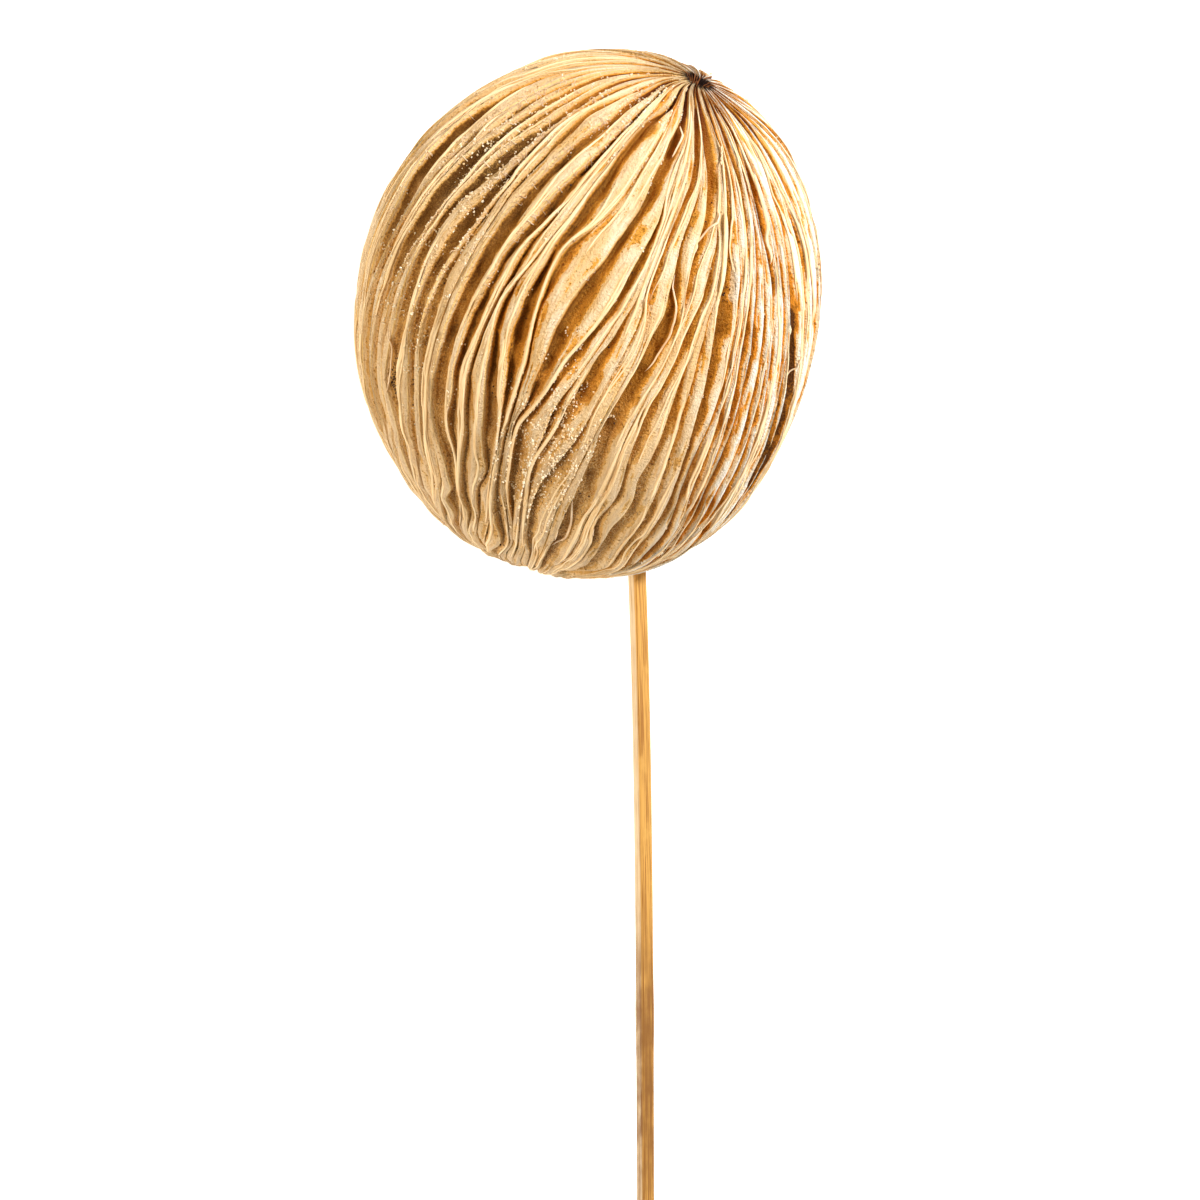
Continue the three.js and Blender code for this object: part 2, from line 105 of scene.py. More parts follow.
# The grooves between the fibre ribs on the uppermost half, from left to right. Each is a path of
# colatitude, longitude and half opening in degrees, and closes past its ends.
GROOVES = (
    ((55, -178, .5), (75, -177, 1.1), (95, -175.8, 1.4), (115, -174, 1), (132, -172, .6)),
    ((35, -168, 1), (42, -171, 2), (50, -173, 2), (60, -174, 2), (70, -173, 1.5), (80, -171, .6)),
    ((84, -169.5, .4), (96, -168.5, 1), (108, -167, .9), (120, -165.5, .8), (134, -164, .5)),
    ((64, -165.2, .3), (76, -163.5, .8), (88, -162, 1), (100, -160, 1.1), (115, -158.5, .8),
     (128, -157, .5)),
    ((33, -165.5, .8), (42, -163, 1.5), (50, -161.5, 2), (60, -159.3, 2.3), (68, -157.8, 2.5),
     (76, -155.2, 2), (85, -154.5, 1.8), (93, -154.8, .8)),
    ((26, -156.5, .5), (32, -155, 1), (38, -153.2, .9), (46, -152.6, .3), (54, -151.4, 1),
     (60, -150.6, .6), (88, -151.3, .4), (95, -151.5, .9), (102, -151.5, 1.7), (110, -151.3, 1.8),
     (118, -150.5, 1.8), (124, -149, 1.8), (130, -148, .8)),
    ((20, -152.5, .3), (27, -150.4, .4), (35, -149.6, .6), (42, -148.3, .9), (47, -147.8, .5)),
    ((20, -149.5, .6), (24, -147.5, 1), (28, -145.3, 1.5), (34, -142.9, 1.5), (42, -142.5, 1.2),
     (48, -142.5, 1.2), (55, -143, 2), (65, -143.5, 2.2), (75, -144, 2.3), (85, -144.6, 2),
     (92, -146, 1), (102, -146.5, .6), (112, -147, .8), (118, -146.2, .7)),
    ((30, -139.5, .3), (60, -138.8, .2), (75, -140.5, .2), (88, -142.5, .5), (105, -142.5, .3),
     (113, -142.3, .6), (118, -142, .8), (121, -141, .4), (133, -143, .8)),
    ((18, -140.8, .4), (25, -137.5, 1), (31, -134.5, 1.5), (40, -133.6, 1.4), (50, -134.8, 1.5),
     (58, -136, 1.2), (66, -138, .8), (76, -138.3, .9), (86, -137.6, 1.5), (95, -136.8, 1.7),
     (105, -138.3, 1.3), (110, -138.2, 1.4), (118, -136, .5), (125, -135.8, .6)),
    ((22, -133, .7), (27, -131.8, .5), (40, -130.5, .2), (48, -129.3, .7), (56, -129.2, 1.2),
     (64, -130.3, 1.6), (72, -131.3, 1.7), (80, -132.2, 1.4), (90, -132.3, 1.3), (98, -131.8, 1),
     (104, -130.8, .7), (112, -129.8, 1), (118, -130.2, 1.3), (124, -129.8, .8)),
    ((56, -127.3, .2), (66, -127.8, .2), (78, -129.5, .5), (84, -129.3, 1.3), (90, -129, 1.5),
     (94, -128.8, 1.3), (97, -128.8, .6)),
    ((30, -128, .3), (38, -126.6, .4), (46, -125.2, .4), (56, -125.5, .2)),
    ((17, -120, .8), (24, -119, .8), (30, -117.7, .5), (38, -119, 1), (50, -120, .9), (60, -120.9, 1.4),
     (70, -121.2, 1.6), (80, -121.8, 1.5), (95, -121.9, 1.4), (105, -121.2, 1.7), (112, -119.8, 1.7),
     (118, -116.6, 2.5), (125, -116, 1.5), (129, -115.8, .5), (133, -118, 2.5), (139, -117, 1.5)),
    ((15, -112.5, .8), (20, -111.2, .9), (28, -110, 1), (36, -110.2, .8), (42, -111, 1),
     (50, -112.3, 1.4), (58, -113.4, 1.4), (63, -114.8, 1), (68, -116.6, .6), (76, -117, .6),
     (82, -117.3, 1), (90, -117.4, 1.1), (97, -118, .5), (103, -116.8, .6), (110, -117, 1.1),
     (115, -115.5, .8)),
    ((60, -111.8, .2), (66, -113, .8), (71, -113.2, .8), (76, -113.8, .3), (96, -114.9, .3),
     (104, -113.8, .4), (112, -112.3, .4), (127, -113.2, .8), (132, -113, 1), (137, -112, .4)),
    ((74, -111.7, .2), (80, -112.2, .8), (86, -111.2, 1), (92, -110, 1.1), (98, -108.6, 1.5),
     (104, -107.2, 1.7), (110, -106.3, 1.9), (115, -106, 1.4), (119, -105.3, .5), (126, -108.5, .5),
     (131, -108.5, .7)),
    ((10, -101.5, 1.2), (14, -98.8, 1.4), (17, -98.3, 1), (20, -100.5, .7), (25, -103.2, .8),
     (33, -103.5, 1.2), (42, -103.4, 1.3), (50, -103.7, 1.8), (56, -104.6, 1.4), (62, -106.2, .8),
     (68, -106.6, .7), (75, -106.5, 1.5), (83, -106.6, 1.6), (90, -105.6, 1.4), (97, -104.7, .8),
     (103, -104.2, .4)),
    ((60, -103.6, .5), (66, -103.6, 1.1), (71, -104.3, .9), (75, -104.6, .4), (90, -102.4, .2),
     (123, -102.8, .4), (128, -102.3, 1.2), (133, -101.3, 2), (138, -100, 2.2), (144, -99, 1.8)),
    ((10, -89, 2), (15, -86.5, 2.2), (20, -85, 2.3), (26, -85.6, 3), (32, -86.5, 2), (37, -88, 1.8),
     (43, -88.2, 1.2), (49, -89.8, .9), (55, -91.5, .9), (62, -93, 1.2), (68, -95, 1.5),
     (75, -96.5, 1.7), (81, -97.2, 1.7), (88, -97.7, 1.5), (93, -98.5, 1.2), (98, -99.2, .5),
     (104, -101.5, .2)),
    ((47, -82.8, .4), (52, -83.5, .8), (57, -84.3, 1), (62, -85.5, 1), (67, -86.8, .8), (72, -87.8, .6),
     (78, -90.3, .5), (84, -92.8, .8), (90, -94.4, .6), (97, -96.8, .5), (104, -99.2, 1),
     (110, -98.9, 1.6), (116, -98.6, 1.6), (122, -98, 1.6), (127, -98, 1)),
    ((94, -92.5, .4), (99, -92.9, .9), (104, -93.6, .6)),
    ((73, -84.3, .4), (78, -84.9, .8), (82, -86.3, 1.3), (88, -87.3, 1.5), (93, -88.5, 1.6),
     (98, -90, 1.2), (102, -91.3, .8), (108, -93.2, .7), (113, -94.2, .7), (117, -94.6, .4)),
    ((102, -86, .4), (107, -87.3, .9), (112, -88.8, 1.4), (117, -90.5, 1.4), (122, -91.6, 1.3),
     (126, -92.4, .7), (132, -91.5, 1.2), (137, -93, .8)),
    ((12, -80.5, .5), (18, -78, .7), (24, -76, .8), (30, -74.6, .6), (36, -74.8, .8), (42, -76.8, .5),
     (48, -78.4, .5), (55, -79.8, .3), (61, -80.6, .8), (66, -81.3, .9)),
    ((40, -72.2, .3), (47, -73.8, .4), (53, -75, .5), (58, -74.2, .7), (64, -73, 2), (70, -73, 1.8),
     (75, -74.4, 2.2), (80, -75.5, 2), (86, -76.9, 1.9), (92, -78.5, 2), (97, -79.8, 1.9),
     (104, -80.2, 1.7), (112, -80.2, 2), (120, -81.3, 1.8), (128, -81.8, 1.9), (136, -82.3, 1.8),
     (145, -83.5, 1.5), (152, -84, 1)),
    ((12, -75.5, 1.2), (17, -71.5, 2.5), (22, -68.5, 3.5), (27, -66.5, 3.8), (32, -66, 2.6),
     (37, -66, 2.2), (42, -66.2, 1.8), (47, -67.5, 1.4), (52, -68.8, 1.2), (57, -70.2, .7),
     (66, -70.5, .5)),
    ((48, -62.8, .3), (55, -63.5, .7), (62, -64.3, .9), (67, -66.3, .7), (73, -67.7, 1), (79, -68.5, .9),
     (85, -70.2, .7), (91, -71.7, 1.3), (96, -72.2, .9), (104, -72.9, .4), (116, -71.5, .6),
     (121, -73, .3), (125, -73.8, .5), (129, -72.8, 1), (134, -71, .8)),
    ((82, -66.3, .5), (90, -66, .9), (98, -66.2, .9), (105, -66.8, 1.1), (110, -67.6, 1.6),
     (114, -66.7, 1.2), (120, -66.6, 1.2), (126, -67.8, 1.7), (132, -67.6, 1.8), (138, -67, 2.1),
     (144, -66.3, 2), (150, -66, 1.2)),
    ((66, -63, .2), (74, -63, .4), (82, -62.8, .6), (92, -63, .6), (100, -62.6, .7), (107, -61.9, .9),
     (115, -61.4, .7), (122, -60.9, .8), (128, -60.7, .8), (135, -60, .6), (141, -58.8, .7),
     (147, -57, .7)),
    ((20, -62.5, .5), (26, -61, 1), (30, -59.8, 1), (36, -59.2, 1.1), (43, -59, 1.4), (50, -59.2, 1.7),
     (57, -58.4, 2.2), (64, -58.2, 2.3), (71, -57.8, 2.1), (78, -58, 1.4), (85, -58.2, 1),
     (92, -58, .9), (100, -57.9, .6), (113, -57, .4), (120, -56.2, .9), (128, -55.9, .9),
     (135, -55.2, .8), (141, -53.8, 1), (146, -52.5, 1.2)),
    ((25, -57, .2), (33, -55.7, .3), (40, -55, .4), (56, -53.2, .3), (73, -53.7, .5), (91, -54.3, .5),
     (98, -55.2, .6), (104, -55.6, .9), (109, -55.2, .9), (114, -54.7, .5), (122, -52.2, .6),
     (127, -50.3, .5), (132, -50, 1.1), (138, -49.2, 1.1), (144, -47.5, 1)),
    ((17, -57.3, .4), (22, -55.7, .7), (26, -53.7, .9), (29.5, -52.2, .5), (48, -50.7, .2),
     (66, -51.2, .4), (85, -51.8, .6), (102, -51.7, .9), (109, -51.4, 1), (114, -51, .8)),
    ((66, -48.9, .3), (72, -48.7, .8), (80, -48.9, .6), (94, -48.1, .6), (106, -48.4, .5),
     (113, -48.2, .7), (118, -47.7, .9), (122, -46.8, .7), (134, -44.7, .4), (138, -43.3, .9),
     (142, -41.8, 1), (147, -40, .8)),
    ((18, -51.3, .5), (25, -49.7, .5), (40, -47.4, .3), (50, -46.7, .6), (58, -46.4, .8), (67, -46.2, 1),
     (75, -45.8, .9), (83, -46.5, .6), (102, -46.3, .7), (110, -46.3, .5), (116, -45.3, .8),
     (121, -44.2, 1.5), (126, -43.6, 2), (130, -42.5, 1.4), (135, -40.5, .6)),
    ((10, -48.5, 1.4), (15, -47.2, 1.1), (19, -46, .6), (28, -47.4, .2), (51, -43.3, .3), (65, -42, .4),
     (85, -41.6, .6), (93, -41.5, .7), (107, -41, .6), (112, -41.2, 1), (117, -40.4, 1.2),
     (122, -39.3, 1), (126, -38.5, .6)),
    ((25, -46, .3), (28, -45.4, .9), (33, -43.8, 1.8), (38, -42.4, 2.2), (43, -41.2, 2.1),
     (48, -40, 1.7), (53, -38.9, 1.2), (58, -38.2, .7), (70, -39.3, .2), (93, -38.8, .7),
     (104, -37.5, .6), (112, -36.8, .8), (118, -36.2, .8), (130, -38, .4), (135, -36.3, 1),
     (140, -35.3, .9)),
    ((66, -36.5, .3), (72, -37, .8), (80, -36.7, 1), (86, -36.1, .8), (90, -35.6, .3), (112, -34.8, .6),
     (121, -35.2, .6), (125, -33.8, 1.1), (130, -31.8, 1.3), (135, -30.2, 1), (139, -29, .5)),
    ((86, -33.6, .5), (97, -32.5, .7), (102, -32.7, .7), (106, -33, .3)),
    ((17, -44.5, .4), (21, -43, .8), (25, -41.8, .9), (29, -40.3, .6), (38, -37.1, .5), (50, -34.4, .6),
     (56, -33.4, .4), (62, -31.8, .5), (67, -31, .5), (93, -28.9, .7), (106, -30, .8),
     (118, -29.3, .4)),
    ((40, -34, .7), (44, -32.6, .9), (48, -31.3, .5), (67, -29.5, .2), (104, -26.3, .6),
     (111, -26.3, .7)),
    ((34, -31.5, .4), (40, -29, .4), (46, -28.6, 1), (51, -28.3, 1.6), (57, -27, 2.4), (63, -26, 2.5),
     (70, -24.6, 2.7), (77, -23.7, 3), (85, -21.9, 3.2), (92, -21.4, 3.3), (100, -21.3, 3.1),
     (108, -21.6, 2.8), (116, -21.8, 2.5), (124, -21.6, 2.3), (132, -21.2, 1.9), (140, -20.6, 1.3),
     (148, -20, .6)),
    ((10, -26, 3), (15, -24.8, 2.5), (20, -24, 1.6), (28, -23.8, .5), (33, -21.7, .5), (38, -19.8, .6),
     (43, -18.4, .6), (48, -17.2, .5), (60, -16.3, .5), (80, -15.5, .4), (110, -14.8, .4)),
    ((12, -17.5, .9), (40, -14, .8), (60, -11, .8), (80, -9, .5), (110, -8.3, .5), (140, -7, .5)),
)

# The grooves on the hidden half follow the same habit by a seeded rule. All are in degrees.
HIDDEN_COUNT = 30
HIDDEN_FROM = -4
HIDDEN_TO = 181
HIDDEN_WANDER = 1.7
HIDDEN_WIDEST = 2.2
HIDDEN_SEAM_TURN = 158
HIDDEN_SEAM_OPENING = 2.2
STOPS = np.arange(20, 141, 20)

# How a groove closes past its given ends, unless it runs on to a pole, in degrees, and how often
# its course between given stretches is averaged
CLOSING = 5
FADING = 7
RUNS_TO_TIP = 20
RUNS_TO_FOOT = 138
SMOOTHINGS = 60

# The ball's rows and columns: the first rows are close together, and a span of a mean width in
# degrees is cut into columns of a pitch, with a least and a most number of them.
TIP_ROWS = np.array([0.5, 1.1, 1.9, 2.9, 4.0, 5.2])
EVEN_ROWS = (6.5, 178.2)
COUNTED_ROWS = (40, 130)
GROOVE_COLUMNS = (0.5, 3, 5)
RIB_COLUMNS = (0.55, 3, 8)
LEAST_GROOVE = 0.05
LEAST_RIB = 0.3

# Relief of the ball
LEVEL_RANGE = 0.55 * MM
SHOULDER_SHARE = 0.34
SHOULDER_MOST = 0.8 * MM
LIP_SHARE = 0.4
FURROW_DEPTH = 0.42 * MM
LUMP_DEPTH = 0.34 * MM
GRAIN_DEPTH = 0.16 * MM
DEEPENING_WIDTH = 1.6 * MM
FLAT_WIDTHS = (1.5 * MM, 3.0 * MM)
DARK_WIDTHS = (2.6 * MM, 3.6 * MM)
PIT_DEPTH = 2.6 * MM
PIT_REACH = 1.8
DENT_DEPTH = 0.5 * MM
DENT_REACH = 4
HOLE_DEPTH = 6 * MM
HOLE_EDGE = (1.75 * MM, 2.9 * MM)

# Regions of the shown side, in degrees of longitude (turn) and colatitude (rows). A pair of numbers
# is where a smooth step starts and ends, or else a middle and a reach.
WORN_TURN = -142
WORN_TURN_REACH = 26
WORN_ROW = 54
WORN_ROW_REACH = 28
DULL_TURN = -105
DULL_TURN_FADE = (36, 68)
DULL_ROWS = (84, 120)
KNOBBLY_ROWS = (104, 130)
LEFT_TURNS = ((-182, -178), (-136, -110))
# The bright turns bound the right side that the key light washes out, where the colours are painted light
BRIGHT_TURNS = ((-66, -46), (110, 150))
SEAM_TURN = -21.5
SEAM_TURN_REACH = 6
SEAM_ROWS = (56, 66)
ROUND_FLANKS = (-160, 34)
SHALLOW_LEFT = (-152, 28)


def srgb(red, green, blue):
    """A screen colour from 0 to 255 as linear light."""
    screen = np.array([red, green, blue]) / 255
    linear = np.where(screen <= 0.04045, screen / 12.92, ((screen + 0.055) / 1.055) ** 2.4)
    return tuple(float(c) for c in linear)


def colour(name, description, value):
    """A property for a colour in linear light."""
    return FloatVectorProperty(
        name=name, description=description, default=value, subtype="COLOR", size=3, min=0, max=1
    )


def length(name, description, value):
    """A property for a length in metres."""
    return FloatProperty(name=name, description=description, default=value, unit="LENGTH")


def number(name, description, value, least=1):
    """A property for a number of things."""
    return IntProperty(name=name, description=description, default=value, min=least)


class BallSettings(bpy.types.PropertyGroup):
    """The fibrous stone itself."""

    rows: number("Rows", "Rows of points from tip to foot", 129, 40)
    widen: FloatProperty(name="Widen", description="Factor on every groove's opening", default=1.15)
    more: length("Open by", "Room added to every half opening", 0.12 * MM)
    depth: length("Groove depth", "Depth of the widest groove", 3.4 * MM)
    least_depth: length("Crease depth", "Depth of a closed crease", 0.4 * MM)
    skin: length("Skin", "Room left under the egg shape for the fibres on top", 0.22 * MM)
    crown: colour("Crown", "Bleached crowns of the ribs", srgb(254, 236, 204))
    shade: colour("Shade", "Duller stretches of the ribs", srgb(242, 204, 148))
    wall: colour("Wall", "Golden walls of the grooves", srgb(234, 166, 66))
    floor: colour("Floor", "Brown floors of the grooves", srgb(190, 124, 34))
    # Deep is dirt and painted shade together: the darkest tint of the deepest grooves and of the painted
    # shadow beneath the lips
    deep: colour("Deep", "Dirt in the deepest grooves", srgb(92, 52, 8))
    tip: colour("Tip", "Dark brown fibres at the tip", srgb(112, 50, 4))


class FibreSettings(bpy.types.PropertyGroup):
    """The separate fibres, splinters and crumbs on the ball."""

    cords: number("Cords", "Long fibres along the ribs", 420)
    shreds: number("Shreds", "Short torn fibres", 520)
    tip_fibres: number("Tip fibres", "Fibre ends round the tip", 46)
    clumps: number("Clumps", "Clumps of pale crumbs caught on the fibres", 260)
    bits: number("Bits", "Dark bits of dirt in the grooves", 700)
    radius: length("Cord radius", "Half the width of a long fibre", 0.2 * MM)


class StickSettings(bpy.types.PropertyGroup):
    """The split bamboo stick."""

    around: number("Around", "Points round the stick", 56, 16)
    along: number("Along", "Rings along the stick", 190, 20)
    groove: length("Grain depth", "Depth of the fibre lines", 0.035 * MM)
    face: colour("Face", "Golden split face", srgb(218, 164, 80))
    line: colour("Grain", "Brown fibre lines", srgb(164, 108, 36))
    pale: colour("Pale face", "Pale outer face", srgb(240, 216, 176))
    old: colour("Weathered", "Darker stretch from the joint on", srgb(140, 92, 34))


class StageSettings(bpy.types.PropertyGroup):
    """Floor, lights and camera."""

    lens: FloatProperty(name="Lens", description="Focal length in millimetres", default=150)
    key: FloatProperty(name="Key", description="Power of the key light", default=11.4, unit="POWER")
    fill: FloatProperty(name="Fill", description="Power of the fill light", default=4.5, unit="POWER")
    dome: FloatProperty(name="Dome", description="Strength of the light from all round", default=0.28)
    floor: colour("Floor", "Pale floor", (0.93, 0.93, 0.93))


# Shape

def unit_vector(turn, rise):
    """cos(rise) sin(turn), cos(rise) cos(turn), sin(rise), from degrees."""
    a, b = np.radians(turn), np.radians(rise)
    return np.stack([np.cos(b) * np.sin(a), np.cos(b) * np.cos(a), np.sin(b)], -1)


TIP = unit_vector(*TIP_TURN)
UP = -unit_vector(*FOOT_TURN)
ACROSS = (TIP - (TIP @ UP) * UP) / np.linalg.norm(TIP - (TIP @ UP) * UP)
SIDEWAYS = np.cross(UP, ACROSS)
TIP_SHIFT = TIP @ ACROSS / (1 + TIP @ UP)


def on_sphere(longitude, colatitude):
    """Unit vectors for degrees between two poles that aren't opposite.

    The sphere is projected from the foot onto a plane, where r is the tangent of half the colatitude,
    and the plane is moved so that the tip is its middle: u = r cos(longitude) + shift,
    v = r sin(longitude), and the vector is (2u, 2v, 1 - u² - v²) / (1 + u² + v²).
    """
    r = np.tan(np.radians(colatitude) / 2)
    u = r * np.cos(np.radians(longitude)) + TIP_SHIFT
    v = r * np.sin(np.radians(longitude))
    m = u * u + v * v
    parts = ((2 * u / (1 + m), ACROSS), (2 * v / (1 + m), SIDEWAYS), ((1 - m) / (1 + m), UP))
    return sum(weight[..., None] * axis for weight, axis in parts)


def egg(d):
    """The radius R + a few low waves of the direction, in x and y, and the half depth in z."""
    x, y, z = d[..., 0], d[..., 1], d[..., 2]
    waves = (
        SWELL["right"] * x
        + SWELL["up"] * y
        + SWELL["slim"] * (y * y - x * x)
        + SWELL["lean"] * 2 * x * y
        + SWELL["corner"] * (x**3 - 3 * x * y * y)
        + SWELL["shoulder"] * (3 * x * x * y - y**3)
    )
    radius = OUTLINE_RADIUS + waves * MM
    return np.stack([radius * x, radius * y, HALF_DEPTH * z], -1)


def draw(seed):
    """A number from 0 to 1 for each seed: the fraction of a large sine."""
    wave = np.sin(np.asarray(seed, float) * 12.9898) * 43758.5453
    return wave - np.floor(wave)


def ripple(seed, x, scale, octaves=3):
    """A smooth line between about -1 and 1: sines of doubling pace with seeded phases."""
    total = np.zeros(np.broadcast(x, seed).shape)
    for octave in range(octaves):
        phase = 2 * math.pi * draw(np.asarray(seed) * 7.13 + octave * 3.7)
        pace = 2**octave * (1 + 0.3 * draw(np.asarray(seed) * 1.7 + octave))
        total = total + np.sin(x * pace / scale + phase) / 2**octave
    return total / 1.6


def smooth_step(low, high, x):
    """3t² - 2t³, where t runs from 0 at low to 1 at high and stays there past them."""
    t = np.clip((x - low) / (high - low), 0, 1)
    return t * t * (3 - 2 * t)


def bell(middle, reach, x, power=2):
    """e^(-t^power), where t is how far x is from the middle, in reaches."""
    return np.exp(-(((x - middle) / reach) ** power))


def smoothed(grid):
    """Every row's mean with its two neighbours, where the row itself counts twice."""
    padded = np.pad(grid, ((1, 1), (0, 0)), mode="edge")
    return (padded[:-2] + 2 * padded[1:-1] + padded[2:]) / 4


def hidden_grooves():
    """Evenly spaced grooves whose longitudes lean and wander, with seeded openings to the power 1.7.

    Each has a shorter and straight one beside it.
    """
    spacing = (HIDDEN_TO - HIDDEN_FROM) / HIDDEN_COUNT
    place = np.arange(STOPS.size)
    grooves = []
    for k in range(HIDDEN_COUNT):
        home = HIDDEN_FROM + spacing * (k + 0.5)
        lean = HIDDEN_WANDER * (draw(k + 1) - 0.5)
        turns = home + lean * (place - 3) * 0.5 + HIDDEN_WANDER * (draw(31 * k + 7 * place) - 0.5)
        openings = 0.15 + HIDDEN_WIDEST * draw(17 * k + 5 * place + 3) ** 1.7
        if abs(home - HIDDEN_SEAM_TURN) < spacing / 2:
            openings = np.full(STOPS.size, HIDDEN_SEAM_OPENING)
        first = 2 * (k % 2)
        grooves.append(tuple(zip(STOPS[first:], turns[first:], openings[first:])))
        middle = 35 + 90 * draw(k + 200)
        reach = np.array([-24, -8, 8, 24]) * (0.7 + draw(k + 300))
        between = home + spacing * (0.4 + 0.2 * draw(k + 400))
        width = 0.2 + 0.6 * draw(k + 500)
        grooves.append(tuple((middle + r, between, width) for r in reach))
    return grooves


def groove_tracks(rows, settings):
    """Centre and half opening of every groove at every row, in degrees, and how far it is there.

    A stretch that no path gives lies at an even share of the way between its neighbours, and is then
    averaged along the groove until it runs smoothly into the given stretches.
    """
    grooves = [*GROOVES, *hidden_grooves()]
    count = len(grooves)
    centre = np.zeros((rows.size, count))
    half = np.zeros((rows.size, count))
    known = np.zeros((rows.size, count), bool)
    there = np.zeros((rows.size, count))
    for k, path in enumerate(grooves):
        at, turn, opening = np.array(path, float).T
        centre[:, k] = np.interp(rows, at, turn)
        tapered = np.interp(rows, [at[0] - CLOSING, *at, at[-1] + CLOSING], [0, *opening, 0])
        at_tip = (rows < at[0]) & (at[0] <= RUNS_TO_TIP)
        at_foot = (rows > at[-1]) & (at[-1] >= RUNS_TO_FOOT)
        at_pole = at_tip | at_foot
        half[:, k] = np.where(at_pole, np.interp(rows, at, opening), tapered)
        known[:, k] = (rows >= at[0]) & (rows <= at[-1])
        past = np.maximum(at[0] - rows, rows - at[-1])
        there[:, k] = np.where(at_pole, 1, np.clip(1 - past / FADING, 0, 1))
    order = np.arange(count)
    last = count - 2
    for row in range(rows.size):
        sure = known[row].copy()
        sure[last] = True
        where = np.concatenate([[-1], order[sure]])
        turns = np.concatenate([[centre[row, last] - 360], centre[row, sure]])
        centre[row] = np.interp(order, where, turns)
    given = centre.copy()
    for _ in range(SMOOTHINGS):
        centre = np.where(known, given, smoothed(centre))
    centre = smoothed(smoothed(centre))
    half = smoothed(smoothed(half))
    return centre, half * settings.widen, there


def turn_from(middle, longitude):
    """How far a longitude is from a middle one, from -180 to 180 degrees."""
    return (longitude - middle + 180) % 360 - 180


def worn_place(colatitude, longitude):
    """Near 1 on the upper left, where dirt and crumbs lie in wide grooves, and 0 elsewhere.

    It is e^(-a² - b²), where a and b are how far the longitude and the row are, in reaches.
    """
    turn = turn_from(WORN_TURN, longitude)
    return np.exp(-((turn / WORN_TURN_REACH) ** 2) - ((colatitude - WORN_ROW) / WORN_ROW_REACH) ** 2)


def dull_place(colatitude, longitude):
    """1 low down on the left and in the middle, where the floors are shallow and tan, else 0."""
    away = np.abs(turn_from(DULL_TURN, longitude))
    return smooth_step(*DULL_ROWS, colatitude) * (1 - smooth_step(*DULL_TURN_FADE, away))


def between_turns(turns, longitude):
    """1 between two longitudes that are each given as a smooth step, and 0 elsewhere."""
    turn = turn_from(0, longitude)
    return smooth_step(*turns[0], turn) * (1 - smooth_step(*turns[1], turn))


def left_place(longitude):
    """1 on the tan ribs of the left side, and 0 elsewhere."""
    return between_turns(LEFT_TURNS, longitude)


def bright_place(longitude):
    """1 on the key-lit right side, with crisp grooves, crowns painted whiter for the light and grooves
    painted darker, and 0 on the left.
    """
    return between_turns(BRIGHT_TURNS, longitude)


def degree_on(rows):
    """The length of one degree of longitude at each row, as on a round ball."""
    return OUTLINE_RADIUS * np.radians(1) * np.sin(np.radians(rows))


def ordered_edges(rows, settings):
    """Left and right edge of every groove by row, jagged a little and kept in order.

    Half an opening gets room near the tip and where the groove is there, and more where the ball is
    worn. Least gaps are taken away, the running maximum from the left and minimum from the right are
    averaged, and the gaps are put back, which parts edges that met by equal shares.
    """
    centre, half, there = groove_tracks(rows, settings)
    seeds = np.arange(centre.shape[1])[None, :]
    at = rows[:, None]
    ring = degree_on(at)
    worn = worn_place(at, centre)
    frayed = draw(seeds * 3.1 + np.arange(rows.size)[:, None] * 7.7) - 0.5
    left_jag = 0.13 * ripple(seeds + 0.5, at, 2.6, 4) + (0.05 + 0.16 * worn) * MM / ring * frayed
    right_jag = 0.2 * ripple(seeds + 90.5, at, 2.2, 4)
    near_tip = 1 + 0.9 * (1 - smooth_step(18, 55, at))
    room = settings.more * near_tip * (0.1 + 0.9 * there) + 0.16 * MM * worn * there
    half = half * (1 + 0.3 * worn + 0.06 * bright_place(centre)) + np.minimum(room / ring, 2.2)
    slim = np.minimum(1, half / 0.6)
    edges = np.stack([centre - half + left_jag * slim, centre + half + right_jag * slim], -1)
    edges = edges.reshape(rows.size, -1)
    least = np.cumsum(np.tile([LEAST_GROOVE, LEAST_RIB], edges.shape[1] // 2))
    bare = edges - least
    rising = np.maximum.accumulate(bare, axis=1)
    falling = np.minimum.accumulate(bare[:, ::-1], axis=1)[:, ::-1]
    return (rising + falling) / 2 + least


def next_of(listed, column):
    """The first of the listed columns that isn't before each column, or the last one."""
    return listed[np.searchsorted(listed, column).clip(0, listed.size - 1)].astype(float)


